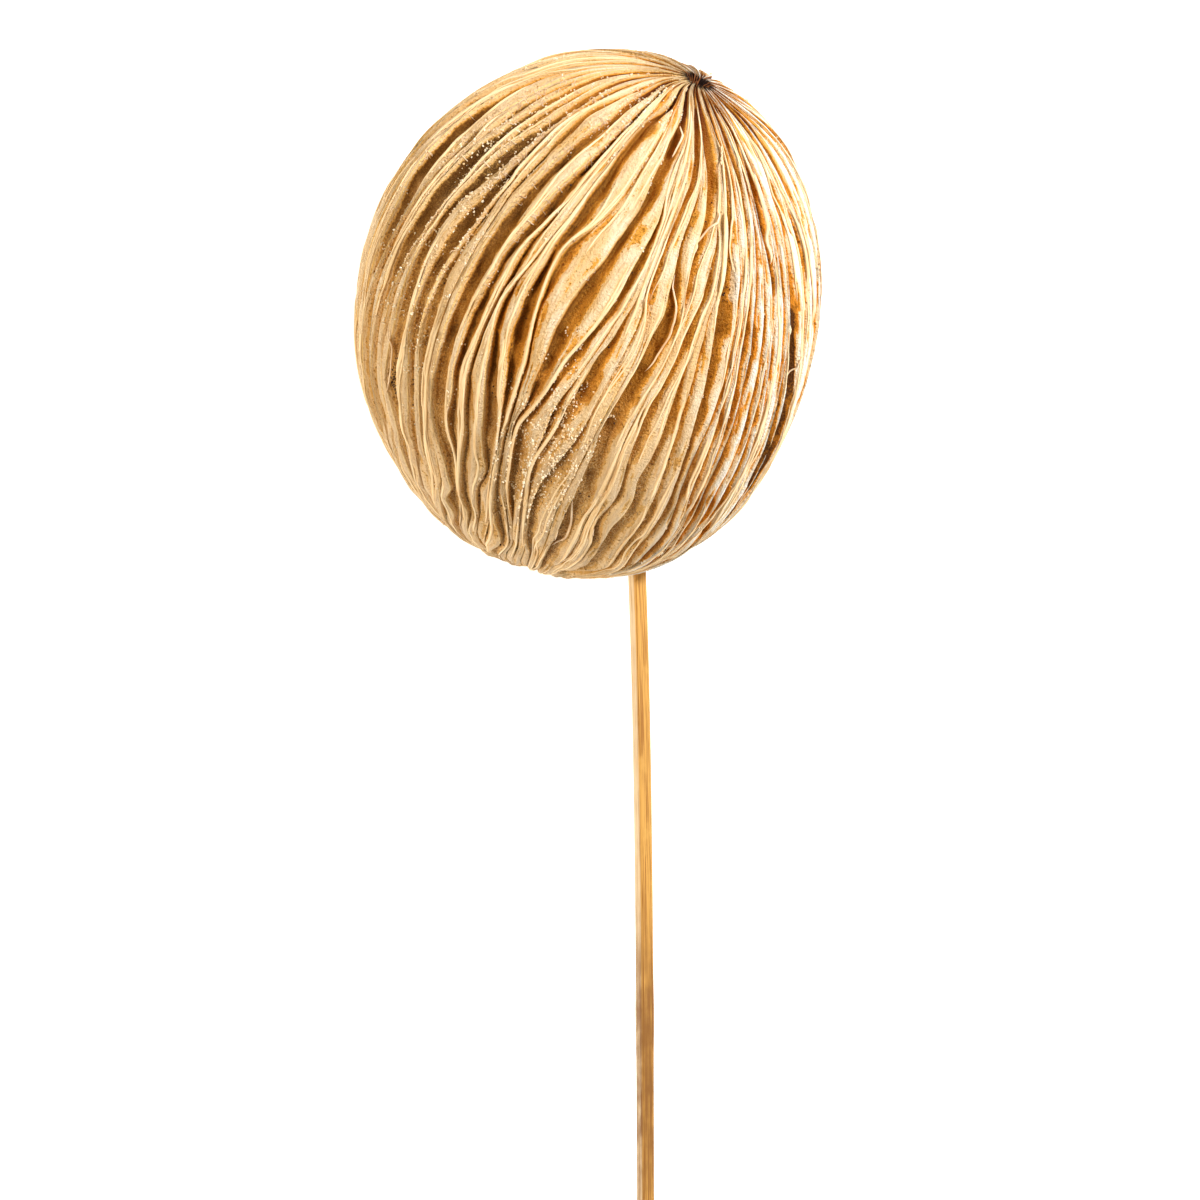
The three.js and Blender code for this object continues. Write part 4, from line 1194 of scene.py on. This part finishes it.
def ball_fields(weave):
    """The numbers that the ball's material reads, each for the whole grid and for the two poles.

    The dip is 1 - e^(-depth / full), where full is the depth of a full groove, less near the tip and
    on the right and more on the left. It is also 1 in the pit, and raised in the ribs' first columns,
    which are the far walls of open grooves, where painted shade darkens them.
    """
    turns = weave.longitude
    rows = np.broadcast_to(weave.rows[:, None], turns.shape)
    bright = bright_place(turns)
    worn = worn_place(rows, turns)
    dull = dull_place(rows, turns)
    left = left_place(turns) * (1 - worn) * smooth_step(50, 88, rows)
    tip = 1 - smooth_step(12, 44, rows)
    seam = bell(SEAM_TURN, SEAM_TURN_REACH, turns, 4) * smooth_step(*SEAM_ROWS, rows)
    # The colours darken sooner on the bright side, as painted shade, and later on the left
    full = (0.2 + 0.3 * smooth_step(6, 45, rows)) * (1 - 0.32 * bright) * (1 + 0.9 * left)
    dip = 1 - np.exp(-np.maximum(weave.dip, 0) / (full * MM))
    # Full dip in the pit at the tip: painted shade
    dip = np.maximum(dip, 1 - smooth_step(1.6, 3.0, rows))
    # The far walls of open grooves and the seam get painted shade
    far_wall = ~weave.cut & (weave.share == 0)
    opened = smooth_step(0.15 * MM, 0.6 * MM, np.roll(weave.width, 1, axis=1))
    far_wall_shade = np.maximum(seam, opened * np.maximum(0.25 * bright, 0.45 * tip))
    # Under marks the painted shadow beneath the lips and in the seam
    under_lip = np.maximum(np.exp(-weave.share / 0.4), seam)
    return {
        "dip": (np.where(far_wall, np.maximum(dip, far_wall_shade), dip), (0.8, 0.2)),
        "tip": (tip, (1, 0)),
        "dull": (np.maximum(dull, 0.8 * left), (0, 0)),
        "worn": (worn, (0, 0)),
        # Lip places the painted highlight along the rib edges
        "lip": (np.broadcast_to(weave.lips.astype(float), turns.shape), (0, 0)),
        "bright": (bright, (0, 0)),
        "tan": (np.maximum(dull, worn), (0, 0)),
        "under": (np.where(weave.cut, under_lip, seam), (1, 1)),
        # Pit places the painted shade of the pit
        "pit": (1 - smooth_step(1.5, 18, rows), (1, 0)),
    }


def ball_uv(weave):
    """u from 0 to 1 round the ball and v from 0 at the tip to 1 at the foot, for every loop."""
    columns = weave.columns
    i, j = np.meshgrid(np.arange(weave.rows.size - 1), np.arange(columns), indexing="ij")
    above, below = weave.rows[i] / 180, weave.rows[i + 1] / 180
    quad_u = np.stack([j, j, j + 1, j + 1], -1).ravel() / columns
    quad_v = np.stack([above, below, below, above], -1).ravel()
    j = np.arange(columns)
    tip_u = np.stack([j + 0.5, j, j + 1], -1).ravel() / columns
    tip_v = np.tile([0, weave.rows[0], weave.rows[0]], columns) / 180
    foot_u = np.stack([j + 0.5, j + 1, j], -1).ravel() / columns
    foot_v = np.tile([180, weave.rows[-1], weave.rows[-1]], columns) / 180
    return np.concatenate([quad_u, tip_u, foot_u]), np.concatenate([quad_v, tip_v, foot_v])


def make_ball(settings):
    """The grid of the weave, closed by a fan of triangles at the tip and at the foot."""
    weave = Weave(settings)
    rows, columns = weave.rows.size, weave.columns
    poles = np.stack([weave.points[0].mean(axis=0) * 0.997, weave.points[-1].mean(axis=0)])
    points = np.concatenate([weave.points.reshape(-1, 3), poles])
    j = np.arange(columns)
    k = (j + 1) % columns
    last = (rows - 1) * columns
    tip_fan = np.stack([np.full(columns, rows * columns), j, k], -1)
    foot_fan = np.stack([np.full(columns, rows * columns + 1), last + k, last + j], -1)
    faces = [ring_faces(rows, columns), tip_fan, foot_fan]
    material = husk_material(settings)
    piece = new_piece("mintola_ball_fibres", laid(points), faces, material)
    set_uv(piece, *ball_uv(weave))
    for name, (values, at_poles) in ball_fields(weave).items():
        set_value(piece, name, np.concatenate([values.ravel(), at_poles]))
    sharpen(piece, np.tile(weave.lips, rows), columns)
    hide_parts("mintola_ball")


def cord_paths(weave, settings):
    """Long fibres along the crowns: each keeps to its own column and swings a little about it.

    Its half width is radius (1 - |t|^6), where t runs from -1 to 1 along it, and is less near a pole.
    """
    rng = np.random.default_rng(41)
    count, steps = settings.cords, 34
    ribs = np.flatnonzero(~weave.cut & (weave.share > 0.1) & (weave.share < 0.9))
    column = rng.choice(ribs, count) + rng.uniform(-0.3, 0.3, count)
    middle = rng.uniform(20, 162, count)
    reach = np.minimum(rng.uniform(7, 30, count), np.minimum(middle - 12, 172 - middle))
    along = np.linspace(-1, 1, steps)
    colatitude = middle[:, None] + reach[:, None] * along
    row = weave.row_of(colatitude)
    swing = 0.7 * ripple(np.arange(count)[:, None] + 0.3, colatitude, 12.0, 3)
    slip = rng.normal(0, 0.02, count)[:, None] * (colatitude - middle[:, None])
    taper = np.clip(1 - np.abs(along) ** 6, 0.06, 1)
    thick = settings.radius * rng.uniform(0.5, 1.35, count)[:, None] * taper
    pinch = np.minimum(1, 0.35 + np.sin(np.radians(colatitude)))
    centres, outs = weave.surface(row, column[:, None] + swing + slip, 0.04 * MM * taper)
    return centres, outs, thick * pinch, thick * pinch * 0.62


def shred_paths(weave, settings):
    """Short torn fibres that start on the lip of a rib and curl over the groove beside it.

    Half of them lie on the worn upper left. With t from 0 to 1 along it, a fibre sways by t^1.3 and a
    ripple, rises by sin(0.8 pi t) and thins by 1 - t^5.
    """
    rng = np.random.default_rng(97)
    count, steps = settings.shreds, 12
    worn = rng.uniform(size=count) < 0.5
    colatitude = np.where(worn, rng.normal(52, 15, count), rng.uniform(12, 168, count))
    longitude = np.where(worn, rng.normal(-140, 16, count), rng.uniform(-180, 180, count))
    colatitude = np.clip(colatitude, 12, 170)
    column = weave.on_lip(weave.columns_of(colatitude, longitude))
    extent = rng.uniform(0.2, 2.2, count) * rng.choice([-1, 1], count)
    along = np.linspace(0, 1, steps)
    path = colatitude[:, None] + extent[:, None] * along
    sway = rng.uniform(-0.4, 1.8, count)[:, None] * along**1.3
    sway = sway + 0.8 * ripple(np.arange(count)[:, None], along, 0.2, 2)
    lift = (0.04 + rng.uniform(0, 0.5, count)[:, None] * np.sin(math.pi * 0.8 * along)) * MM
    taper = np.clip(1 - along**5, 0.12, 1)[None] * np.ones((count, 1))
    thick = 0.065 * MM * rng.uniform(0.5, 1.5, count)[:, None] * taper
    centres, outs = weave.surface(weave.row_of(path), column[:, None] + sway, lift)
    return held_inside(centres), outs, thick, thick * 0.7


def held_inside(points):
    """Points pulled towards the ball's middle where they are further out than the egg shape allows.

    The most is the length of the egg shape's own point for the same direction, less 0.1 mm.
    """
    reach = np.linalg.norm(points, axis=-1, keepdims=True)
    shell = np.linalg.norm(egg(points / reach), axis=-1, keepdims=True) - 0.1 * MM
    return points * np.minimum(1, shell / reach)


def tip_paths(weave, settings):
    """Fibre ends round the tip: they come out of the pit, lean over its rim and stop in the air.

    With t from 0 to 1 along it, a fibre rises by sin(0.75 pi t) and thins by 1 - t^4.
    """
    rng = np.random.default_rng(7)
    count, steps = settings.tip_fibres, 12
    column = rng.uniform(0, weave.columns, count)
    start = rng.uniform(0.4, 1.2, count)
    reach = rng.uniform(0.8, 3.6, count)
    along = np.linspace(0, 1, steps)
    colatitude = start[:, None] + reach[:, None] * along
    twist = rng.normal(0, 14, count)[:, None] * along
    lift = rng.uniform(0.05, 0.4, count)[:, None] * np.sin(math.pi * along * 0.75) * MM
    thick = 0.07 * MM * rng.uniform(0.6, 1.5, count)[:, None] * np.clip(1 - along**4, 0.15, 1)
    centres, outs = weave.surface(weave.row_of(colatitude), column[:, None] + twist, lift)
    return held_inside(centres), outs, thick, thick * 0.8


# Single fibres that the photograph shows, each as colatitude, longitude and lift in millimetres
LOOSE_HALF_WIDTH = 0.16 * MM
LOOSE_FIBRES = (
    ((40, -63.5, 0.1), (44, -65.5, 0.7), (48, -68, 1.0), (51, -70.2, 0.6), (54, -70.5, 0.1)),
    ((22, -60.5, 0.1), (26, -62, 0.5), (29, -63.5, 0.8), (30, -65.2, 0.9)),
    ((76, -17.5, 0.1), (80, -19.5, 0.4), (84, -22.5, 0.6), (88, -25.5, 0.1)),
    ((58, -74.5, 0.0), (66, -72.5, 0.5), (75, -73, 0.7), (84, -76, 0.2)),
    ((31, -86, 0.0), (25, -84.5, 0.6), (20, -87.5, 0.4)),
    ((96, -141, 0.1), (101, -139, 0.7), (107, -137.5, 0.9), (113, -139, 0.2)),
    ((120, -83, 0.1), (127, -81, 0.6), (134, -81.5, 0.5), (141, -84, 0.1)),
)

# Splinters that have split off a rib and stand in a groove, given the same way
SPLINTER_HALF_WIDTH = 0.36 * MM
SPLINTERS = (
    ((29, -44.6, 2.2), (34, -43.3, 2.5), (39, -42.2, 2.4), (45, -40.8, 2.0), (52, -39.4, 0.9)),
    ((41, -62.0, 0.2), (45, -61.6, 1.0), (50, -61.2, 1.4), (56, -61.0, 1.0), (63, -61.2, 0.2)),
    ((60, -27.5, 0.3), (66, -26.4, 1.2), (72, -25.4, 1.4), (79, -24.4, 0.6)),
)


def loose_paths(weave, paths, half_width):
    """Each given path as a smooth curve along its points, which thins by 1 - |t|^5 to its two ends."""
    steps = 22
    along = np.linspace(0, 1, steps)
    tracks = []
    for path in paths:
        at, turn, rise = np.array(path, float).T
        given = np.linspace(0, 1, at.size)
        column = weave.columns_of(at, turn)
        line = [np.interp(along, given, values) for values in (weave.row_of(at), column, rise * MM)]
        padded = [np.pad(values, 2, mode="edge") for values in line]
        tracks.append([np.convolve(values, np.full(5, 0.2), "valid") for values in padded])
    row, column, lift = np.array(tracks).transpose(1, 0, 2)
    centres, outs = weave.surface(row, column, lift + 0.1 * MM)
    taper = np.clip(1 - np.abs(2 * along - 1) ** 5, 0.15, 1)[None] * np.ones((len(tracks), 1))
    thick = half_width * taper
    return held_inside(centres), outs, thick, thick * 0.6


def scattered(weave, count, seed, clusters, share, kept_to=None, clump=1):
    """Spots on the surface: a share of them normal about the clusters, the rest anywhere.

    Each spot is repeated as a clump of so many. They may be kept to the lips of the ribs, or to the
    floors of the grooves.
    """
    rng = np.random.default_rng(seed)
    picked = rng.integers(0, len(clusters), count)
    about = np.array(clusters, float)[picked]
    near = rng.uniform(size=count) < share
    colatitude = np.where(near, rng.normal(about[:, 0], about[:, 2]), rng.uniform(12, 165, count))
    longitude = np.where(near, rng.normal(about[:, 1], about[:, 3]), rng.uniform(-180, 180, count))
    colatitude = np.clip(colatitude, 6, 172)
    column = weave.columns_of(colatitude, longitude)
    if kept_to == "lips":
        column = weave.on_lip(column)
    if kept_to == "floors":
        column = weave.on_floor(column)
    column = np.repeat(column, clump) + rng.normal(0, 0.4 * clump**0.5, count * clump)
    colatitude = np.repeat(colatitude, clump) + rng.normal(0, 0.7 * (clump > 1), count * clump)
    lift = rng.uniform(0.02, 0.14, count * clump) * MM
    centres, _ = weave.surface(weave.row_of(colatitude), column, lift)
    return held_inside(centres), rng


def make_stick(settings):
    """The section carried down the bowed line, with fibre lines cut in and the bamboo's joint swelling.

    The half side shrinks evenly to the cut end, and swells by joint e^(-(x / half)²). Each point round
    the section is pulled in by a seeded groove that fades in and out along the stick.
    """
    around, along = settings.around, settings.along
    distance = np.linspace(-STICK_IN, STICK_FREE, along)
    taper = np.interp(distance, [0, STICK_FREE], [STICK_SIDE, STICK_TIP_SIDE])
    joint = bell(KNUCKLE_AT, KNUCKLE_HALF, distance)
    section = stick_section(STICK_SIDE, around)
    lines = 0.5 + 0.5 * ripple(np.arange(around)[None] * 1.9, distance[:, None], 0.09, 3)
    lines = lines * draw(np.arange(around) + 11)[None] * settings.groove
    radius = np.linalg.norm(section, axis=-1)
    scale = (taper / STICK_SIDE * (1 + 0.07 * joint))[:, None] - lines / radius[None]
    middle = stick_line(distance)
    points = np.stack(
        [
            middle[:, None, 0] + section[None, :, 0] * scale,
            np.broadcast_to(middle[:, None, 1], scale.shape),
            middle[:, None, 2] + section[None, :, 1] * scale,
        ],
        -1,
    )
    last = (along - 1) * around
    ends = np.stack([np.arange(around), last + np.arange(around)[::-1]])
    faces = [ring_faces(along, around), ends]
    material = bamboo_material(settings)
    piece = new_piece("split_bamboo_stick", laid(points.reshape(-1, 3)), faces, material)
    u = np.broadcast_to(np.arange(around)[None] / around, scale.shape).ravel()
    v = np.broadcast_to(distance[:, None] * MAP_PER_METRE, scale.shape).ravel()
    loops = loop_vertices(piece)
    set_uv(piece, u[loops], v[loops])
    facing = section / radius[:, None]
    narrow = math.radians(180 + STICK_TURN)
    leaning = facing @ np.array([math.cos(narrow), math.sin(narrow)])
    pale = np.broadcast_to(smooth_step(0.72, 0.8, leaning)[None], scale.shape)
    past = distance - KNUCKLE_AT
    weathered = smooth_step(-22 * MM, 0, past) * (1 - 0.6 * smooth_step(14 * MM, 40 * MM, past))
    set_value(piece, "pale_face", pale.ravel())
    set_value(piece, "weathered", np.broadcast_to(weathered[:, None], scale.shape).ravel())
    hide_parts("bamboo_stick")


def in_view(offset):
    """Where a place of the upright ball's frame comes to lie."""
    return Vector(tipped(np.array(offset, float)) + SHIFT)


def make_camera(lens):
    """The camera stands straight over the ball's middle and looks at the middle of the photograph."""
    data = bpy.data.cameras.new("camera")
    data.lens = lens
    data.sensor_width = 36
    data.clip_start = 0.01
    data.clip_end = 50
    camera = bpy.data.objects.new("camera", data)
    bpy.context.scene.collection.objects.link(camera)
    eye = in_view((0, 0, VIEW_HEIGHT * lens / data.sensor_width))
    aim = in_view(VIEW_MIDDLE)
    up = in_view((0, 1, 0)) - in_view((0, 0, 0))
    back = (eye - aim).normalized()
    right = up.cross(back).normalized()
    top = back.cross(right)
    camera.matrix_world = Matrix.Translation(eye) @ Matrix((right, top, back)).transposed().to_4x4()
    bpy.context.scene.camera = camera


def make_light(name, offset, size, power, tint):
    """A square soft light that faces the middle of the ball."""
    data = bpy.data.lights.new(name, "AREA")
    data.size = size
    data.energy = power
    data.color = tint
    light = bpy.data.objects.new(name, data)
    bpy.context.scene.collection.objects.link(light)
    light.location = in_view(offset)
    light.rotation_euler = (in_view((0, 0, 0)) - light.location).to_track_quat("-Z", "Y").to_euler()


def make_floor(tint):
    """One square face under the part."""
    corners = [(-FLOOR_HALF, -FLOOR_HALF, 0), (FLOOR_HALF, -FLOOR_HALF, 0)]
    corners += [(FLOOR_HALF, FLOOR_HALF, 0), (-FLOOR_HALF, FLOOR_HALF, 0)]
    mesh = bpy.data.meshes.new("floor")
    mesh.from_pydata(corners, [], [(0, 1, 2, 3)])
    mesh.materials.append(floor_material(tint))
    floor = bpy.data.objects.new("floor", mesh)
    bpy.context.scene.collection.objects.link(floor)


def make_stage(settings):
    """The camera, a white key light, a warm fill light, a warm glow from all round, and the floor."""
    make_camera(settings.lens)
    make_light("key", KEY_PLACE, KEY_SIZE, settings.key, KEY_TINT)
    make_light("fill", FILL_PLACE, FILL_SIZE, settings.fill, FILL_TINT)
    world = bpy.data.worlds.new("studio")
    world.use_nodes = True
    sky = world.node_tree.nodes["Background"]
    sky.inputs["Color"].default_value = SKY_TINT
    sky.inputs["Strength"].default_value = settings.dome
    bpy.context.scene.world = world
    bpy.context.scene.view_settings.view_transform = "Standard"
    make_floor(tuple(settings.floor))


# Operators

class MINTOLA_OT_ball(bpy.types.Operator):
    """Make the ball with its fibre ribs"""

    bl_idname = "mintola.ball"
    bl_label = "Ball"

    def execute(self, context):
        make_ball(context.scene.mintola_ball)
        return {"FINISHED"}


class MINTOLA_OT_fibres(bpy.types.Operator):
    """Lay the long, torn and loose fibres on the ball"""

    bl_idname = "mintola.fibres"
    bl_label = "Fibres"

    def execute(self, context):
        settings = context.scene.mintola_fibres
        ball = context.scene.mintola_ball
        weave = Weave(ball)
        pale = fibre_material("pale_fibre", srgb(255, 232, 190), tuple(ball.shade))
        torn = fibre_material("torn_fibre", srgb(250, 230, 198), srgb(214, 170, 118))
        brown = fibre_material("tip_fibre", srgb(150, 92, 42), tuple(ball.tip))
        tubes("long_fibres", *cord_paths(weave, settings), pale, 6)
        tubes("torn_fibres", *shred_paths(weave, settings), torn, 5)
        tubes("loose_fibres", *loose_paths(weave, LOOSE_FIBRES, LOOSE_HALF_WIDTH), torn, 8)
        tubes("splinters", *loose_paths(weave, SPLINTERS, SPLINTER_HALF_WIDTH), pale, 10)
        tubes("tip_fibres", *tip_paths(weave, settings), brown, 5)
        return {"FINISHED"}


class MINTOLA_OT_crumbs(bpy.types.Operator):
    """Scatter pale crumbs and dark bits between the fibres"""

    bl_idname = "mintola.crumbs"
    bl_label = "Crumbs"

    # Colatitude, longitude, and spread of each in degrees
    PALE_CLUSTERS = ((102, -94, 10, 5), (56, -140, 12, 8), (116, -98, 7, 6), (104, -90, 7, 4))
    LIP_CLUSTERS = ((50, -140, 14, 10), (85, -140, 16, 10), (26, -115, 8, 10), (110, -96, 12, 7))
    DARK_CLUSTERS = ((58, -59, 2, 1.5), (55, -27, 4, 1.5), (109, -138.5, 2, 1.2), (118, -95, 16, 18))

    def execute(self, context):
        settings = context.scene.mintola_fibres
        weave = Weave(context.scene.mintola_ball)
        pale = crumb_material("pale_crumb", srgb(255, 245, 222), srgb(240, 210, 160), 0.3)
        dark = crumb_material("dark_bit", srgb(66, 40, 20), srgb(30, 20, 14), 0.8)
        for name, count, seed, clusters, kept_to in (
            ("pale_crumbs", settings.clumps, 5, self.PALE_CLUSTERS, None),
            ("lip_crumbs", 2 * settings.clumps, 15, self.LIP_CLUSTERS, "lips"),
        ):
            centres, rng = scattered(weave, count, seed, clusters, 0.8, kept_to, 6)
            crumbs(name, centres, rng.uniform(0.06, 0.26, len(centres)) * MM, seed + 1, pale)
        centres, rng = scattered(weave, settings.bits, 8, self.DARK_CLUSTERS, 0.4, "floors")
        crumbs("dark_bits", centres, rng.uniform(0.07, 0.2, len(centres)) * MM, 9, dark)
        return {"FINISHED"}


class MINTOLA_OT_stick(bpy.types.Operator):
    """Make the split bamboo stick"""

    bl_idname = "mintola.stick"
    bl_label = "Stick"

    def execute(self, context):
        make_stick(context.scene.mintola_stick)
        return {"FINISHED"}


class MINTOLA_OT_stage(bpy.types.Operator):
    """Set up the floor, the lights and the camera"""

    bl_idname = "mintola.stage"
    bl_label = "Stage"

    def execute(self, context):
        make_stage(context.scene.mintola_stage)
        return {"FINISHED"}


STEPS = (
    ("mintola.ball", "mintola_ball", BallSettings),
    ("mintola.fibres", "mintola_fibres", FibreSettings),
    ("mintola.crumbs", None, None),
    ("mintola.stick", "mintola_stick", StickSettings),
    ("mintola.stage", "mintola_stage", StageSettings),
)


class MINTOLA_PT_panel(bpy.types.Panel):
    """List the steps of the model with their sizes and colours"""

    bl_idname = "MINTOLA_PT_panel"
    bl_label = "Bleached mintola ball"
    bl_space_type = "VIEW_3D"
    bl_region_type = "UI"
    bl_category = "Mintola"

    def draw(self, context):
        for step, store, group in STEPS:
            box = self.layout.box()
            box.operator(step)
            if store is not None:
                for name in group.__annotations__:
                    box.prop(getattr(context.scene, store), name)


CLASSES = (
    BallSettings,
    FibreSettings,
    StickSettings,
    StageSettings,
    MINTOLA_OT_ball,
    MINTOLA_OT_fibres,
    MINTOLA_OT_crumbs,
    MINTOLA_OT_stick,
    MINTOLA_OT_stage,
    MINTOLA_PT_panel,
)


def register():
    """Registers the classes, and gives the scene a store for each group of settings."""
    for each in CLASSES:
        bpy.utils.register_class(each)
    for _, store, group in STEPS:
        if store is not None:
            setattr(bpy.types.Scene, store, PointerProperty(type=group))


def unregister():
    """Takes the stores and the classes away again."""
    for _, store, _ in STEPS:
        if store is not None:
            delattr(bpy.types.Scene, store)
    for each in reversed(CLASSES):
        bpy.utils.unregister_class(each)


def main():
    """Makes every piece and the stage."""
    register()
    bpy.ops.mintola.ball()
    bpy.ops.mintola.fibres()
    bpy.ops.mintola.crumbs()
    bpy.ops.mintola.stick()
    bpy.ops.mintola.stage()


if __name__ == "__main__":
    main()
